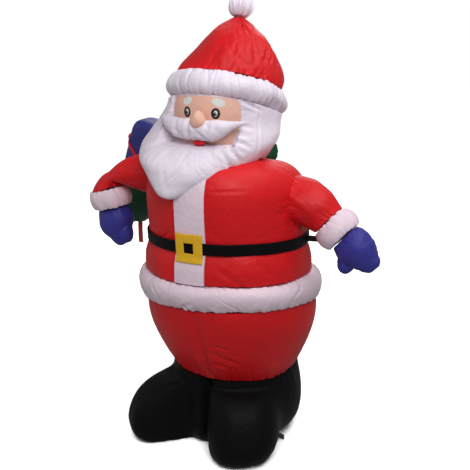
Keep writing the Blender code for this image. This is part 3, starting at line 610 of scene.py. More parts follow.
def buckle():
    """A square ring of padded cloth: each row is a section from the window's edge to the outside."""
    angles = 2 * math.pi * np.arange(240) / 240
    square = 1 / np.maximum(np.abs(np.cos(angles)), np.abs(np.sin(angles)))
    tug = CORNER_TUG * np.exp(-((angles - TUGGED_CORNER) / TUG_SPREAD) ** 2)
    tug = 1 + tug - SIDE_PULL * np.cos(3 * angles)
    turns_round = 2 * math.pi * np.arange(22) / 22
    out = blunted(np.cos(turns_round), BUCKLE_SQUARENESS)
    lift = blunted(np.sin(turns_round), BUCKLE_FLATNESS)
    rows = []
    for angle, reach, pull in zip(angles, square, tug):
        mid = (BUCKLE_SIZE + BUCKLE_WINDOW) / 4 * reach * (1 + (pull - 1) * 0.6)
        half = (BUCKLE_SIZE - BUCKLE_WINDOW) / 4 * reach
        x, height = np.cos(angle) * (mid + half * out), np.sin(angle) * (mid + half * out)
        radius = buckle_seat(height) + BUCKLE_THICKNESS / 2 * (1 + lift)
        level = BELT_LOW + (BELT_HIGH - BELT_LOW) * (0.5 + height[:, None] / BELT_HEIGHT)
        turn = FRONT_TURN + np.arcsin(x / radius)
        rows.append(rings(level, radius[:, None], turn[:, None])[:, 0])
    return np.array(rows)


yellow = nylon("yellow_nylon_cloth", (0.74, 0.42, 0.012), gloss=0.3)
looped("buckle", buckle(), yellow)


# Arms: red sleeves sewn to the coat at the shoulders. The left one stands out and down, and the
# right one folds over at the elbow, where the slack cloth bunches into creases.
def curve_through(points, steps):
    """Points along a smooth curve through the given ones."""
    points = np.array(points, float)
    padded = np.vstack([2 * points[0] - points[1], points, 2 * points[-1] - points[-2]])
    t = (np.arange(steps) / steps)[:, None]
    curve = [b + 0.5 * ((c - a) * t + (2 * a - 5 * b + 4 * c - d) * t ** 2 + (3 * b - a - 3 * c + d) * t ** 3)
             for a, b, c, d in zip(padded, padded[1:], padded[2:], padded[3:])]
    return np.vstack(curve + [points[-1:]])


WRIST_RADIUS = 0.050
LIMB_TURNS = 2 * math.pi * np.arange(200) / 200
BACKWARD = np.array((0.0, 1.0, 0.0))
SLEEVE_STEPS = {"left": 24, "right": 16}
# Each slice is its middle, its dip in degrees, its half height and its half depth.
ARM_SLICES = {
    "left": [(0.100, 0.0, 0.690, -6, 0.070, 0.070),
             (0.145, 0.0, 0.698, -3, 0.069, 0.069),
             (0.190, 0.0, 0.700, 6, 0.067, 0.067),
             (0.235, 0.0, 0.690, 22, 0.062, 0.062),
             (0.283, 0.0, 0.658, 41, WRIST_RADIUS, WRIST_RADIUS)],
    "right": [(0.100, 0.0, 0.695, -8, 0.068, 0.068),
              (0.185, -0.010, 0.722, -2, 0.062, 0.062),
              (0.262, -0.025, 0.730, 8, 0.054, 0.056),
              (0.318, -0.035, 0.7195, 28, 0.0285, 0.054),
              (0.3285, -0.038, 0.7125, 50, 0.0290, 0.052),
              (0.3405, -0.042, 0.7045, 72, 0.0350, WRIST_RADIUS),
              (0.3580, -0.045, 0.6795, 104, WRIST_RADIUS, WRIST_RADIUS)],
}


def sleeve(side):
    """Slices across the arm, from inside the coat to the wrist."""
    slices = curve_through(ARM_SLICES[side], SLEEVE_STEPS[side])
    x, y, z, dip, tall, deep = slices.T[:, :, None]
    dip = np.radians(dip)
    upper = np.stack([SIGN[side] * np.sin(dip), 0 * dip, np.cos(dip)], axis=2)
    middle = np.stack([SIGN[side] * x, y, z], axis=2)
    return (middle + upper * (tall * np.cos(LIMB_TURNS))[..., None]
            + BACKWARD * (deep * np.sin(LIMB_TURNS))[..., None])


def skin_of(piece):
    return BVHTree.FromObject(piece, bpy.context.evaluated_depsgraph_get())


def buried(points, skins):
    """How deep each point lies inside the nearest of the finished pouches."""
    depths = []
    for point in points:
        place = Vector(point + AXIS)
        nearest = [skin.find_nearest(place) for skin in skins]
        depths.append(max((spot - place).dot(normal) for spot, normal, _, _ in nearest))
    return np.array(depths)


def sewn_onto(rows, skins, sink=0.003):
    """Start each line of a limb where it comes out of the pouches that it is sewn to."""
    count = len(rows)
    depth = np.stack([buried(line, skins) for line in rows])
    fitted = rows.copy()
    for k in range(rows.shape[1]):
        inside = np.nonzero(depth[:-1, k] > sink)[0]
        start = 0.0
        if len(inside):
            last = inside[-1]
            start = last + (depth[last, k] - sink) / max(1e-6, depth[last, k] - depth[last + 1, k])
        stops = start + (count - 1 - start) * shares(count)
        for i in range(3):
            fitted[:, k, i] = np.interp(stops, np.arange(count), rows[:, k, i])
    return fitted


coat_skin = skin_of(coat)
for side, seed in (("left", 51), ("right", 55)):
    rows = sewn_onto(sleeve(side), [coat_skin])
    rows = pushed(rows, gathered_ends(rows, (0.019, 0.060, 0.0048), (0.015, 0.045, 0.0036), seed),
                  dents(rows, size=0.09, depth=0.0020, seed=seed + 2),
                  dents(rows, size=0.035, depth=0.0006, seed=seed + 3))
    sewn(f"arm_{side}", rows, red)

# Cuffs: a puffed white ring closes each sleeve, gathered at both of its edges.
CUFF_RADIUS = 0.060
CUFF_LENGTH = 0.056


def past_wrist(side, distance):
    """The place that lies so far beyond the sleeve's end, the way that the arm points."""
    x, y, z, dip, _, _ = ARM_SLICES[side][-1]
    dip = math.radians(dip)
    ahead = np.array((SIGN[side] * math.cos(dip), 0.0, -math.sin(dip)))
    return np.array((SIGN[side] * x, y, z)) + ahead * distance


def tube(path, wide, deep, turns=LIMB_TURNS):
    """Rings across a path, with a half width across it and a half depth from front to back."""
    path = np.array(path)
    ahead = np.gradient(path, axis=0)
    ahead /= np.linalg.norm(ahead, axis=1, keepdims=True)
    across = np.cross(BACKWARD, ahead)
    across /= np.linalg.norm(across, axis=1, keepdims=True)
    over = np.cross(ahead, across)
    wide, deep = (np.asarray(size)[:, None, None] for size in (wide, deep))
    cosine, sine = np.cos(turns)[None, :, None], np.sin(turns)[None, :, None]
    return path[:, None] + across[:, None] * wide * cosine + over[:, None] * deep * sine


for side, seed in (("left", 61), ("right", 65)):
    share = shares(30, 0.6)
    radius = bulging(WRIST_RADIUS, WRIST_RADIUS, CUFF_RADIUS)(share)
    rows = tube([past_wrist(side, ROOM + (CUFF_LENGTH - ROOM) * t) for t in share], radius, radius)
    rows = pushed(rows, gathered_ends(rows, (0.014, 0.034, 0.0040), (0.014, 0.032, 0.0040), seed),
                  dents(rows, size=0.05, depth=0.0012, seed=seed + 2))
    # The cuff's white has the painted pink tint that stands in for red light reflected off the sleeve.
    sewn(f"cuff_{side}", rows, red_bounce_white)

# Mittens: flat blue pouches, each with a thumb that points down on the body's side. Two shaped
# panels are sewn round their rim, which leaves a pinched edge and short creases along it.
MITTEN_LENGTH = 0.111
MITTEN_WIDTH = 0.112
MITTEN_DEPTH = 0.092
THUMB_RADIUS = 0.024
THUMB_LENGTH = {"left": 0.070, "right": 0.078}
THUMB_ROOT = {"left": np.array((-0.004, 0.0, -0.008)), "right": np.array((0.016, 0.0, 0.0))}
THUMB_AIM = {"left": np.array((-0.15, -0.1, -1.0)), "right": np.array((0.40, -0.1, -0.95))}
PALM_SHARE = 1.3
MITTEN_END_SHARE = 0.965
MITTEN_END_POWER = 2.6
MITTEN_ROUNDING = 2.2
RIM_REACH = 0.060
PINCH_DEPTH = 0.0012
PINCH_WIDTH = 0.0015


def mitten_fill(t):
    """How full the palm is along its length, up to its round end."""
    palm = 0.80 + 0.20 * np.sin(math.pi * np.minimum(1.0, PALM_SHARE * t))
    return palm * (1 - (MITTEN_END_SHARE * t) ** MITTEN_END_POWER) ** (1 / MITTEN_ROUNDING)


def rim(rows, turns, depth, seed):
    """The pinch where two panels are sewn together along a pouch's sides."""
    off = np.abs(np.cos(turns))
    along = np.cumsum(np.linalg.norm(np.diff(rows, axis=0, prepend=rows[:1]), axis=2), axis=0)
    near = (1 - off) * RIM_REACH + 0 * along
    side_of = np.where(np.cos(turns) > 0, 0.0, 1.0)
    pinch = PINCH_DEPTH * np.exp(-(near / PINCH_WIDTH) ** 2)
    return gathers(along + side_of, near, OPEN_SEAM, 0.015, 0.026, depth, seed) - pinch


def thumb_rings(side):
    """A round-ended thumb from its root in the palm."""
    root = past_wrist(side, CUFF_LENGTH + THUMB_RADIUS + ROOM) + THUMB_ROOT[side]
    aim = THUMB_AIM[side] / np.linalg.norm(THUMB_AIM[side])
    bend = math.pi * (0.04 + 0.92 * shares(34))
    radius = THUMB_RADIUS * np.sin(bend) ** 0.8
    return tube([root + aim * THUMB_LENGTH[side] / 2 * (1 - math.cos(a)) for a in bend],
                radius, radius, LIMB_TURNS[::2])


def sew_thumb(hand, rows):
    """Join the thumb to the mitten, so that both are one pouch."""
    mesh = mesh_of("thumb", rows, *ring_faces(rows))
    mesh.uv_layers.new(name="threads")
    mesh.shade_smooth()
    mesh.materials.append(blue)
    thumb = placed("thumb", mesh)
    join = hand.modifiers.new("thumb", "BOOLEAN")
    join.operation = "UNION"
    join.solver = "EXACT"
    join.object = thumb
    bpy.context.view_layer.update()
    joined = bpy.data.meshes.new_from_object(hand.evaluated_get(bpy.context.evaluated_depsgraph_get()))
    hand.modifiers.clear()
    hand.data = joined
    bpy.data.objects.remove(thumb, do_unlink=True)


blue = nylon("blue_nylon_cloth", (0.034, 0.032, 0.26), gloss=0.3)
for side, seed in (("left", 71), ("right", 75)):
    t = np.sin(shares(54) * math.pi / 2)
    fill = mitten_fill(t)
    path = [past_wrist(side, CUFF_LENGTH + ROOM + MITTEN_LENGTH * share) for share in t]
    palm = tube(path, MITTEN_WIDTH / 2 * fill, MITTEN_DEPTH / 2 * fill)
    palm = pushed(palm, rim(palm, LIMB_TURNS, 0.0034, seed),
                  gathered(palm, "first", 0.014, 0.036, 0.0036, seed + 1),
                  dents(palm, size=0.07, depth=0.0018, seed=seed + 2))
    hand = sewn(f"mitten_{side}", palm, blue)
    thumb = thumb_rings(side)
    sew_thumb(hand, pushed(thumb, rim(thumb, LIMB_TURNS[::2], 0.0014, seed + 3)))

# Head: a ball of white nylon for the hair, between the collar and the hat. Only its back and
# sides are seen, above the beard.
BAND_LOW = seam(-0.024, 0.924, 20.0)
HEAD_RADIUS = 0.134
HEAD_BASE = 0.14
HEAD_TOP = 0.66


def head_radius(t):
    """A ball's radius from the collar to the hat, cut off at both."""
    base = math.sin(math.pi * HEAD_BASE)
    swell = np.sin(math.pi * (HEAD_BASE + (HEAD_TOP - HEAD_BASE) * t))
    return NECK_RADIUS + (HEAD_RADIUS - NECK_RADIUS) * (swell - base) / (1 - base)


rows = pouch(NECK, BAND_LOW, head_radius, 44)
FACE_HALF_ANGLE = math.radians(44)
FACE_RECESS = 0.004
from_front = (TURNS + math.pi) % (2 * math.pi) - math.pi
behind_face = np.abs(from_front) < FACE_HALF_ANGLE - 0.02
rows = pushed(rows, gathered_ends(rows, (0.018, 0.040, 0.0025), (0.018, 0.040, 0.0025), 81),
              -FACE_RECESS * behind_face + 0 * rows[..., 0])
sewn("head", rows, white)

# Face: a skin-coloured panel let into the head. The eyes and brows are printed on it, so they are
# colour only, and the smile is the gap between moustache and beard.
FACE_START = 0.20
FACE_DEPTH = 0.010
FACE_CROWN = 0.007
CHEEK_SWELL = 0.020
CHEEK_SHARE = 0.32
SKIN_COLOUR = (0.76, 0.44, 0.34)
INK = (0.006, 0.006, 0.007)
PRINT_WHITE = (0.66, 0.69, 0.66)
PRINT_EDGE = 0.06
EYES = (-0.033, 0.043)


def oval(tree, place, x, z, wide, tall, roll_degrees=0.0):
    """A printed oval's mask: 1 inside it and 0 outside, on the panel's front."""
    split = wired(tree, "ShaderNodeSeparateXYZ", {"Vector": place})
    across = reckoned(tree, "SUBTRACT", split.outputs["X"], x + AXIS[0])
    up = reckoned(tree, "SUBTRACT", split.outputs["Z"], z)
    flat = wired(tree, "ShaderNodeCombineXYZ", {"X": across, "Y": up}).outputs[0]
    turned = wired(tree, "ShaderNodeVectorRotate", {"Vector": flat, "Angle": math.radians(roll_degrees)},
                   rotation_type="Z_AXIS").outputs[0]
    scaled = wired(tree, "ShaderNodeVectorMath", {0: turned, 1: (2 / wide, 2 / tall, 1.0)},
                   operation="MULTIPLY").outputs[0]
    reach = wired(tree, "ShaderNodeVectorMath", {0: scaled}, operation="LENGTH").outputs["Value"]
    return ranged(tree, reach, 1 + PRINT_EDGE, 1 - PRINT_EDGE, 0.0, 1.0)


def printed(material, marks):
    """Print oval marks over a nylon's own colour, the last one on top."""
    tree = material.node_tree
    shader = tree.nodes["Principled BSDF"]
    place = wired(tree, "ShaderNodeTexCoord").outputs["Object"]
    ground = shader.inputs["Base Color"].links[0].from_socket
    for colour, *shape in marks:
        mask = oval(tree, place, *shape)
        blend = wired(tree, "ShaderNodeMix", {0: mask, 6: ground, 7: (*colour, 1.0)}, data_type="RGBA")
        ground = blend.outputs[2]
    tree.links.new(ground, shader.inputs["Base Color"])


def face_panel():
    """The panel's front, which swells over the cheeks, and the back that lies in the head."""
    share = shares(64)
    low, high = NECK + (BAND_LOW - NECK) * FACE_START, raised(BAND_LOW, -HALF_SEAM)
    levels = between(low, high, share)
    radius = head_radius(FACE_START + (1 - FACE_START) * share)[:, None]
    across = np.linspace(-1, 1, 97)
    share = share[:, None]
    bulge = FACE_CROWN * np.sqrt((1 - across ** 2) * (1 - (2 * share - 1) ** 2))
    bulge = bulge + CHEEK_SWELL * np.exp(-(share / CHEEK_SHARE) ** 2) * np.sqrt(1 - across ** 2)
    front = rings(levels, radius + PLACKET_PROUD + bulge, FACE_HALF_ANGLE * across)
    rear = rings(levels, radius - FACE_DEPTH + 0 * bulge, (FACE_HALF_ANGLE * across)[::-1])
    return np.concatenate([front, rear], axis=1)


skin = nylon("skin_nylon_cloth", SKIN_COLOUR, gloss=0.3, glow=0.1)
face_print = nylon("face_print", SKIN_COLOUR, gloss=0.3, glow=0.1)
# Each mark is its colour, its place across and up, its width, its height and its roll in degrees.
marks = []
for eye in EYES:
    marks += [(INK, eye, 0.926, 0.0212, 0.0262),
              (PRINT_WHITE, eye + 0.0002, 0.9264, 0.0090, 0.0146),
              (INK, eye - 0.0004, 0.9250, 0.0080, 0.0088),
              (PRINT_WHITE, eye + 0.0016, 0.9270, 0.0034, 0.0040)]
marks += [(PRINT_WHITE, -0.0345, 0.9520, 0.029, 0.0175, -24),
          (PRINT_WHITE, 0.0475, 0.9520, 0.032, 0.0175, 20)]
printed(face_print, marks)
sewn("face", face_panel(), face_print)

# Beard: a broad white pouch, sewn to the head round the face and hanging over the chest to a blunt
# tip. Creases fan out from the seam round the face, and the lower cloth is slack.
# Each row is its height, its middle's x, its half width, its depth and its back's y.
BEARD_ROWS = [
    (0.720, -0.045, 0.018, 0.032, -0.195),
    (0.727, -0.045, 0.034, 0.058, -0.184),
    (0.741, -0.045, 0.062, 0.088, -0.160),
    (0.758, -0.044, 0.094, 0.120, -0.127),
    (0.779, -0.040, 0.128, 0.152, -0.092),
    (0.805, -0.043, 0.158, 0.175, -0.060),
    (0.835, -0.038, 0.178, 0.180, -0.030),
    (0.862, -0.028, 0.178, 0.172, -0.012),
    (0.895, -0.018, 0.166, 0.164, 0.000),
    (0.930, -0.005, 0.156, 0.162, 0.006),
    (0.975, 0.000, 0.154, 0.162, 0.010),
]
WINDOW_FLOOR = 0.8498
WINDOW_NARROWING = math.radians(9)
NARROWS_FROM = 0.893
NARROWS_OVER = 0.04
BEARD_TOP_GUESS = 0.95
BEARD_BACK = 0.012
BEARD_TIP = 0.05
SEAM_SOFTNESS = 0.006
FAN_MIDDLE = 0.905
FAN_RADIUS = 0.11
BEARD_FOLDS = [(27.5, 0.860, 42.9, 0.810, 0.004, 0.0040), (23.2, 0.848, 34.2, 0.795, 0.004, 0.0036),
               (32.7, 0.871, 52.0, 0.844, 0.004, 0.0040), (35.5, 0.899, 57.0, 0.890, 0.004, 0.0030),
               (38.0, 0.962, 66.0, 0.928, 0.003, 0.0050), (63.0, 0.929, 59.0, 0.827, 0.004, 0.0030),
               (-30.0, 0.850, -48.0, 0.805, 0.004, 0.0020), (-22.0, 0.840, -30.0, 0.790, 0.004, 0.0014)]


def beard():
    """Rings up to the hat, drawn back to the head inside the face's window; also each point's turn
    round the window and how far it lies inside it."""
    table = curve_through(BEARD_ROWS, 10)
    turns = np.concatenate([np.linspace(-math.pi / 2, math.pi / 2, 361),
                            np.linspace(math.pi / 2, 1.5 * math.pi, 60)[1:-1]])
    share = shares(100)[:, None]

    def outline(z):
        middle, half, depth, back = (np.interp(z, table[:, 0], table[:, i]) for i in range(1, 5))
        x = middle + half * np.sin(turns)
        y = back - np.where(np.cos(turns) > 0, depth, BEARD_BACK) * np.cos(turns)
        return x, y

    top = np.full(len(turns), BEARD_TOP_GUESS)
    for _ in range(3):
        x, y = outline(top)
        top = BAND_LOW[1] - (y - BAND_LOW[0]) * math.tan(BAND_LOW[2]) - HALF_SEAM
    z = BEARD_ROWS[0][0] + (top - BEARD_ROWS[0][0]) * share
    x, y = outline(z)
    tip = np.sqrt(1 - (1 - np.minimum(1, share / BEARD_TIP + 0.01)) ** 2)
    centre_x, centre_y = x.mean(axis=1, keepdims=True), y.mean(axis=1, keepdims=True)
    x, y = centre_x + (x - centre_x) * tip, centre_y + (y - centre_y) * tip
    way = ((z - NECK[1]) / (BAND_LOW[1] - NECK[1])).clip(0, 1)
    axis_y = NECK[0] + (BAND_LOW[0] - NECK[0]) * way
    turn = np.arctan2(x, axis_y - y)
    within = head_radius(way) - FACE_RECESS
    narrowing = WINDOW_NARROWING * ((NARROWS_FROM - z) / NARROWS_OVER).clip(0, 1)
    side = (FACE_HALF_ANGLE - narrowing - np.abs(turn)) * np.hypot(x, axis_y - y)
    hole = np.minimum(side, z - WINDOW_FLOOR)
    ease = np.clip(hole / SEAM_SOFTNESS + 0.5, 0, 1)
    ease = ease * ease * (3 - 2 * ease)
    x = x * (1 - ease) + within * np.sin(turn) * ease
    y = y * (1 - ease) + (axis_y - within * np.cos(turn)) * ease
    return np.stack([x, y, z + 0 * x], axis=2), np.arctan2(z - FAN_MIDDLE, x), hole


rows, fan, hole = beard()
fans = gathers(fan * FAN_RADIUS + 0.4, (-hole).clip(0), 2 * math.pi * FAN_RADIUS, 0.016, 0.075, 0.0026, 91)
lines = BEARD_FOLDS + slack((-75, 75), 0.740, 0.840, count=22, slant=9.0, width=0.003, depth=0.0012, seed=95)
uneven = dents(rows, size=0.12, depth=0.0018, seed=93) + dents(rows, size=0.05, depth=0.0005, seed=94)
rows = pushed(rows, fans * (hole < 0), gathered(rows, "last", 0.02, 0.03, 0.002, 92) * (hole < 0),
              creases(rows, lines, (0.0, -0.015)) * (hole < 0), uneven * (hole < 0))
sewn("beard", rows, white)

# Moustache: one broad padded piece over the face, sewn down under the nose, which narrows to the
# ends of its upper edge.
MOUSTACHE_X = -0.007
MOUSTACHE_HALF = 0.124
MOUSTACHE_HIGH = 0.915
MOUSTACHE_TALL = 0.053
MOUSTACHE_DEEP = 0.044
FACE_OVAL = (0.190, 0.170)
ENDS_START = 0.45
ENDS_NARROWING = 0.7
ENDS_POWER = 8
MOUSTACHE_FOLDS = [(-3.0, 0.918, -4.0, 0.858, 0.004, 0.0050), (-1.0, 0.900, 12.0, 0.862, 0.004, 0.0030),
                   (14.0, 0.914, 10.0, 0.868, 0.004, 0.0022), (-16.0, 0.912, -12.0, 0.866, 0.005, 0.0020)]


def moustache():
    """Rings from one end to the other, along an oval round the face."""
    side = np.linspace(-1, 1, 170)[:, None]
    turns = 2 * math.pi * np.arange(90) / 90
    x = MOUSTACHE_X + MOUSTACHE_HALF * side
    y = -FACE_OVAL[1] * np.sqrt(1 - (x / FACE_OVAL[0]) ** 2)
    height = 1 - ENDS_NARROWING * np.clip((np.abs(side) - ENDS_START) / (1 - ENDS_START), 0, 1)
    end = np.sqrt(1 - (0.99 * np.abs(side)) ** ENDS_POWER)
    z = MOUSTACHE_HIGH - MOUSTACHE_TALL / 2 * height
    tall, deep = MOUSTACHE_TALL / 2 * height * end, MOUSTACHE_DEEP / 2 * height * end
    return np.stack([x + 0 * turns, y + deep * np.sin(turns), z + tall * np.cos(turns)], axis=2)


rows = moustache()
lines = MOUSTACHE_FOLDS + slack((-38, 34), 0.866, 0.912, count=12, slant=4.0,
                                width=0.004, depth=0.0016, seed=102)
rows = pushed(rows, creases(rows, lines), dents(rows, size=0.05, depth=0.0014, seed=101))
sewn("moustache", rows, white)

# Nose and lip: a pear of skin-coloured nylon over the moustache, and a small red ball under it.
# Both are blown up through holes in the face panel that they are sewn round.
NOSE_PLACE = (0.011, -0.175, 0.912)
NOSE_SIZE = (0.021, 0.022, 0.024)
NOSE_TAPER = 0.38
NOSE_BROADEST = 0.906
NOSE_RISE = 0.030
LIP_PLACE = (0.008, -0.166, 0.857)
LIP_SIZE = (0.017, 0.010, 0.007)


def ball(centre, size, sides=72, count=40):
    rise = math.pi * (0.02 + 0.96 * shares(count))[:, None]
    turns = 2 * math.pi * np.arange(sides) / sides
    x, y, z = size
    spread = np.sin(rise)
    return np.array(centre) + np.stack([x * spread * np.cos(turns), y * spread * np.sin(turns),
                                        -z * np.cos(rise) + 0 * turns], axis=2)


rows = ball(NOSE_PLACE, NOSE_SIZE)
slimmer = 1 - NOSE_TAPER * ((rows[:, :, 2] - NOSE_BROADEST) / NOSE_RISE).clip(0, 1)
rows[:, :, 0] = NOSE_PLACE[0] + (rows[:, :, 0] - NOSE_PLACE[0]) * slimmer
rows = pushed(rows, gathered(rows, "first", 0.006, 0.016, 0.0012, 111), dents(rows, 0.03, 0.0004, 112))
sewn("nose", rows, skin)
sewn("lip", ball(LIP_PLACE, LIP_SIZE), red)

# Hat: a puffed white band, a red crown that bows over to the figure's left, and a tuft. The
# band's cloth is the slackest on the figure, so upright tucks cross most of its height.
BAND_HIGH = raised(BAND_LOW, 0.062)
CROWN_TOP = raised(BAND_HIGH, 0.170)
BAND_RADIUS = 0.156
CROWN_RADIUS = 0.138
CROWN_TIP = 0.019
CROWN_BOW = 0.013
POMPOM_RADIUS = 0.032
POMPOM_NECK = 0.45
CROWN_FOLDS = [(25.0, 1.133, 40.0, 1.119, 0.004, 0.0030), (35.0, 1.080, 56.0, 1.038, 0.004, 0.0030),
               (32.0, 1.156, 45.0, 1.091, 0.004, 0.0026), (48.0, 1.100, 62.0, 1.085, 0.004, 0.0024)]
rows = pouch(BAND_LOW, BAND_HIGH, bulging(float(head_radius(1.0)), CROWN_RADIUS, BAND_RADIUS), 40)
tucks = slack((-180, 180), 0.88, 0.97, count=50, slant=4.5, width=0.0028, depth=0.0026, seed=124)
tucks = [(turn, foot - 0.02, lean, foot + 0.12, width, depth) for turn, foot, lean, _, width, depth in tucks]
rows = pushed(rows, gathered_ends(rows, (0.016, 0.036, 0.0036), (0.016, 0.050, 0.0056), 121),
              creases(rows, tucks), dents(rows, size=0.07, depth=0.0020, seed=123))
sewn("hat_band", rows, white)

rows = pouch(BAND_HIGH, CROWN_TOP,
             lambda t: CROWN_TIP + (CROWN_RADIUS - CROWN_TIP) * (1 - t ** 1.6).clip(0) ** 0.95, 76)
rows[:, :, 0] += CROWN_BOW * np.sin(math.pi * shares(76, 0.6))[:, None]
lines = CROWN_FOLDS + slack((15, 95), 1.02, 1.10, count=16, slant=16.0, width=0.0035, depth=0.0034, seed=130)
lines += slack((15, 95), 1.09, 1.16, count=14, slant=20.0, width=0.003, depth=0.0032, seed=138)
lines += slack((-180, 20), 1.0, 1.15, count=18, slant=9.0, width=0.004, depth=0.0018, seed=120)
uneven = dents(rows, size=0.12, depth=0.0022, seed=126) + dents(rows, size=0.04, depth=0.0007, seed=127)
rows = pushed(rows, gathered_ends(rows, (0.018, 0.044, 0.0038), (0.012, 0.055, 0.0034), 124),
              creases(rows, lines, (0.01, 0.05)), uneven)
sewn("hat_crown", rows, red)

rows = pouch(CROWN_TOP, raised(CROWN_TOP, 0.058),
             lambda t: POMPOM_RADIUS * (POMPOM_NECK + 0.55 * np.sin(math.pi * t).clip(0) ** PUFF_POWER),
             48, LIMB_TURNS)
folds = sum(np.cos(k * LIMB_TURNS + phase) * size
            for k, phase, size in ((9, 0.4, 0.0014), (14, 2.1, 0.0012), (23, 4.0, 0.0008)))
rows = pushed(rows, gathered_ends(rows, (0.011, 0.070, 0.0036), (0.012, 0.050, 0.0080), 128),
              folds * np.sin(math.pi * shares(48))[:, None])
sewn("pompom", rows, white)

# Sack: a dark green pouch slung behind the shoulders, its mouth up at the figure's left and its
# bottom hanging behind the right arm.
# Each stop is its place and the sack's half width there.
SACK_ROUTE = [
    (0.038, 0.190, 0.778, 0.030),
    (0.006, 0.205, 0.775, 0.045),
    (-0.100, 0.225, 0.755, 0.066),
    (-0.220, 0.205, 0.720, 0.080),
    (-0.320, 0.165, 0.670, 0.086),
    (-0.385, 0.135, 0.620, 0.088),
    (-0.418, 0.120, 0.572, 0.070),
    (-0.430, 0.115, 0.540, 0.035),
]
SACK_FLATNESS = 0.75
green = nylon("green_nylon_cloth", (0.006, 0.075, 0.024))
route = curve_through(SACK_ROUTE, 12)
rows = tube(route[:, :3], route[:, 3], route[:, 3] * SACK_FLATNESS)
rows = pushed(rows, gathered_ends(rows, (0.014, 0.07, 0.004), (0.018, 0.06, 0.003), 131),
              rim(rows, LIMB_TURNS, 0.0024, 133), dents(rows, size=0.10, depth=0.0020, seed=134))
sewn("sack", rows, green)

# Parcel: a soft box of blue nylon that stands out of the sack, tied with a flat red ribbon.
GIFT_PLACE = np.array((-0.324, 0.145, 0.756))
GIFT_HALF = (0.075, 0.055, 0.085)
GIFT_ROLL = math.radians(17)
RIBBON_PLACE = np.array((-0.392, 0.145, 0.787))
RIBBON_ROLL = math.radians(53)
RIBBON_WIDTH = 0.018
RIBBON_UNDER = 0.0002
RIBBON_OVER = 0.0020


def soft_square(turn):
    """The reach of a square with round corners, at a turn from its middle."""
    return (np.abs(np.cos(turn)) ** 5 + np.abs(np.sin(turn)) ** 5) ** -0.2


def parcel(grow=0.0):
    """Rings of a soft box that leans on the sack; grow makes it larger on all sides."""
    rise = math.pi * (0.05 + 0.90 * shares(70))[:, None]
    turns = 2 * math.pi * np.arange(160) / 160
    reach = soft_square(rise)
    out = soft_square(turns) * reach * np.sin(rise)
    x, y = (GIFT_HALF[0] + grow) * out * np.cos(turns), (GIFT_HALF[1] + grow) * out * np.sin(turns)
    z = -(GIFT_HALF[2] + grow) * reach * np.cos(rise) + 0 * turns
    up = np.array((math.sin(GIFT_ROLL), 0.0, math.cos(GIFT_ROLL)))
    right = np.array((math.cos(GIFT_ROLL), 0.0, -math.sin(GIFT_ROLL)))
    return GIFT_PLACE + x[..., None] * right + y[..., None] * BACKWARD + z[..., None] * up


def ribbon():
    """A flat loop that lies on the parcel, where a plane across it meets its cloth."""
    normal = np.array((math.sin(RIBBON_ROLL), 0.0, math.cos(RIBBON_ROLL)))
    along = np.array((normal[2], 0.0, -normal[0]))
    under = parcel(ROOM)
    gift_skin = BVHTree.FromPolygons(under.reshape(-1, 3).tolist(), ring_faces(under)[0].tolist())
    sections = []
    for a in 2 * math.pi * np.arange(240) / 240:
        ray = along * math.cos(a) + BACKWARD * math.sin(a)
        inner, outer = [], []
        for offset in np.linspace(-RIBBON_WIDTH / 2, RIBBON_WIDTH / 2, 7):
            start = RIBBON_PLACE + normal * offset
            hit = gift_skin.ray_cast(Vector(start), Vector(ray))[0]
            reach = np.linalg.norm(np.array(hit) - start) if hit else 0.02
            inner.append(start + ray * (reach + RIBBON_UNDER))
            outer.append(start + ray * (reach + RIBBON_OVER))
        sections.append(inner + outer[::-1])
    return np.array(sections)


parcel_blue = nylon("parcel_nylon_cloth", (0.022, 0.024, 0.18))
rows = parcel()
rows = pushed(rows, dents(rows, size=0.08, depth=0.0016, seed=141))
sewn("gift", rows, parcel_blue)
looped("gift_ribbon", ribbon(), red)

# Tether loops: short doubled straps of black polypropylene webbing at the belt and the boots, and
# a red one that hangs from the sack. Each is folded over and stitched at its root.
LOOP_WIDTH = 0.016
LOOP_REACH = 0.026
LOOP_THICKNESS = 0.003
LOOP_TUCKED = 0.004
LOOP_BEND = 0.002
LOOP_BEND_REACH = 0.0021
LOOP_WAVE = 0.0012
HIP_LOOP_TURN = math.radians(100)
BOOT_LOOP_TURN = math.radians(76)
WEB_PITCHES = (0.0013, 0.0016)
WEB_HEIGHT = 0.0003


def webbing_relief():
    """Woven strap: ribs across it, with the gaps between the picks darker, for both colours."""
    group = relief_group("webbing relief", ("Shade", "Normal"))
    ribs = crossed_threads(group, wired(group, "ShaderNodeTexCoord"), WEB_PITCHES)
    wired(group, "NodeGroupOutput", {"Shade": ranged(group, ribs, -1.0, 1.0, 0.6, 1.3),
                                     "Normal": bumped(group, ribs, 0.8, WEB_HEIGHT)})
    return group


def strap(node, start, aim, width_aim, material):
    """A folded strap: rounded edges, a full bend at its free end and a slight wave on its way."""
    start, aim, across = np.array(start), np.array(aim), np.array(width_aim, float)
    length = np.linalg.norm(aim)
    across /= np.linalg.norm(across)
    thick = np.cross(aim / length, across)
    turns = 2 * math.pi * np.arange(36) / 36
    wide = blunted(np.cos(turns), 0.25) * LOOP_WIDTH / 2
    deep = blunted(np.sin(turns), 0.8) * LOOP_THICKNESS / 2
    rows = []
    for share in shares(26, 0.5):
        into_bend = max(0.0, (share * length - length + LOOP_BEND) / LOOP_BEND_REACH)
        round_end = math.sqrt(max(0.0, 1 - into_bend ** 2))
        wave = LOOP_WAVE * math.sin(math.pi * share)
        centre = start + aim * share + thick * wave
        rows.append([centre + across * w + thick * d * round_end for w, d in zip(wide, deep)])
    sewn(node, np.array(rows), material)


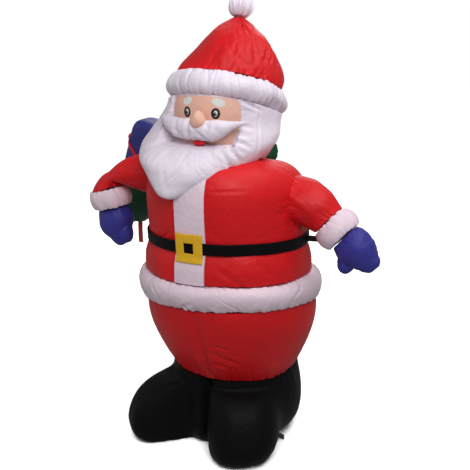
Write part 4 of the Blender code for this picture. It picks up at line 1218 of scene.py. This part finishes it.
WEBBING_RELIEF = webbing_relief()
WEB_FINISH = {"Roughness": 0.68, "Sheen Weight": 0.2}
black_web = coloured("black_webbing", WEBBING_RELIEF, (0.012, 0.012, 0.013), WEB_FINISH)
red_web = coloured("red_webbing", WEBBING_RELIEF, (0.55, 0.010, 0.016), WEB_FINISH)
belt_middle = (BELT_LOW + BELT_HIGH) / 2
for side, sign in SIGN.items():
    hip, outer = (rings([belt_middle], [BELT_OUTER + reach], np.array([sign * HIP_LOOP_TURN]))[0, 0]
                  for reach in (ROOM, ROOM + LOOP_REACH))
    strap(f"hip_loop_{side}", hip, outer - hip, (0, 0, 1), black_web)
    box_low, box_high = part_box(f"boot_loop_{side}")
    middle = (np.array(box_low) + np.array(box_high)) / 2 - AXIS
    aim = np.array((sign * math.sin(BOOT_LOOP_TURN), -math.cos(BOOT_LOOP_TURN), 0.0))
    span = (LOOP_REACH + LOOP_TUCKED) * aim
    strap(f"boot_loop_{side}", middle - span / 2, span, (0, 0, 1), black_web)
strap("sack_loop", (-0.372, 0.125, 0.545), (0.0, 0.0, -0.075), (1, 0, 0), red_web)

# Stage: a plain pale floor with a light of its own, soft studio light from above the camera's
# right, with a weak fill and a rim, and the camera where the photograph was taken from.
FLOOR_HALF = 6
AMBIENT = 0.30
PHOTO_PIXELS = 470
FOCAL_PIXELS = 780
SHIFT_PIXELS = 6
SENSOR_WIDTH = 36
CAMERA_PLACE = (0.96893, -1.77915, 1.19)
CAMERA_AIM = (AXIS[0], AXIS[1], 0.58)

floor_mesh = bpy.data.meshes.new("floor")
floor_mesh.from_pydata([(x * FLOOR_HALF, y * FLOOR_HALF, 0) for x, y in ((-1, -1), (1, -1), (1, 1), (-1, 1))],
                       [], [(0, 1, 2, 3)])
floor = placed("floor", floor_mesh)
paper = bpy.data.materials.new("pale floor")
paper.use_nodes = True
paper_shader = paper.node_tree.nodes["Principled BSDF"]
paper_shader.inputs["Base Color"].default_value = (0.86, 0.86, 0.86, 1.0)
paper_shader.inputs["Roughness"].default_value = 0.9
floor_mesh.materials.append(paper)
floor.visible_diffuse = False
floor.visible_glossy = False

world = bpy.data.worlds.new("studio")
world.use_nodes = True
rays = wired(world.node_tree, "ShaderNodeLightPath")
backdrop = world.node_tree.nodes["Background"]
backdrop.inputs["Color"].default_value = (1.0, 1.0, 1.0, 1.0)
world.node_tree.links.new(ranged(world.node_tree, rays.outputs["Is Camera Ray"], 0.0, 1.0, AMBIENT, 1.0),
                          backdrop.inputs["Strength"])
bpy.context.scene.world = world


def aimed(thing, place, aim):
    """Stand a lamp or the camera at a place and turn it to its aim."""
    thing.location = place
    thing.rotation_euler = (Vector(aim) - thing.location).to_track_quat("-Z", "Y").to_euler()
    return thing


def lamp(name, kind, place, aim, size, power):
    """A lamp whose size is an area's side in metres, or a sun's angle."""
    light = bpy.data.lights.new(name, kind)
    light.energy = power
    if kind == "AREA":
        light.size = size
    else:
        light.angle = size
    return aimed(placed(name, light), place, aim)


lamp("key", "AREA", (1.25, -1.75, 2.45), (0.0, 0.0, 0.75), 1.2, 43)
lamp("side", "AREA", (0.95, 0.25, 2.30), (0.0, 0.0, 1.10), 0.6, 11)
lamp("fill", "AREA", (-2.4, -1.5, 1.7), (0.0, 0.0, 0.7), 1.8, 9)
lamp("rim", "AREA", (-0.9, 2.6, 2.2), (0.0, 0.0, 0.7), 1.6, 22)
floor_light = lamp("floor_light", "SUN", (0.0, -1.0, 4.0), (0.0, 0.0, 0.0), math.radians(50), 3.0)
lit = bpy.data.collections.new("lit floor")
lit.objects.link(floor)
floor_light.light_linking.receiver_collection = lit

camera = aimed(placed("camera", bpy.data.cameras.new("camera")), CAMERA_PLACE, CAMERA_AIM)
camera.data.sensor_width = SENSOR_WIDTH
camera.data.lens = FOCAL_PIXELS / PHOTO_PIXELS * SENSOR_WIDTH
camera.data.shift_x = SHIFT_PIXELS / PHOTO_PIXELS
bpy.context.scene.camera = camera
bpy.context.scene.view_settings.view_transform = "Standard"
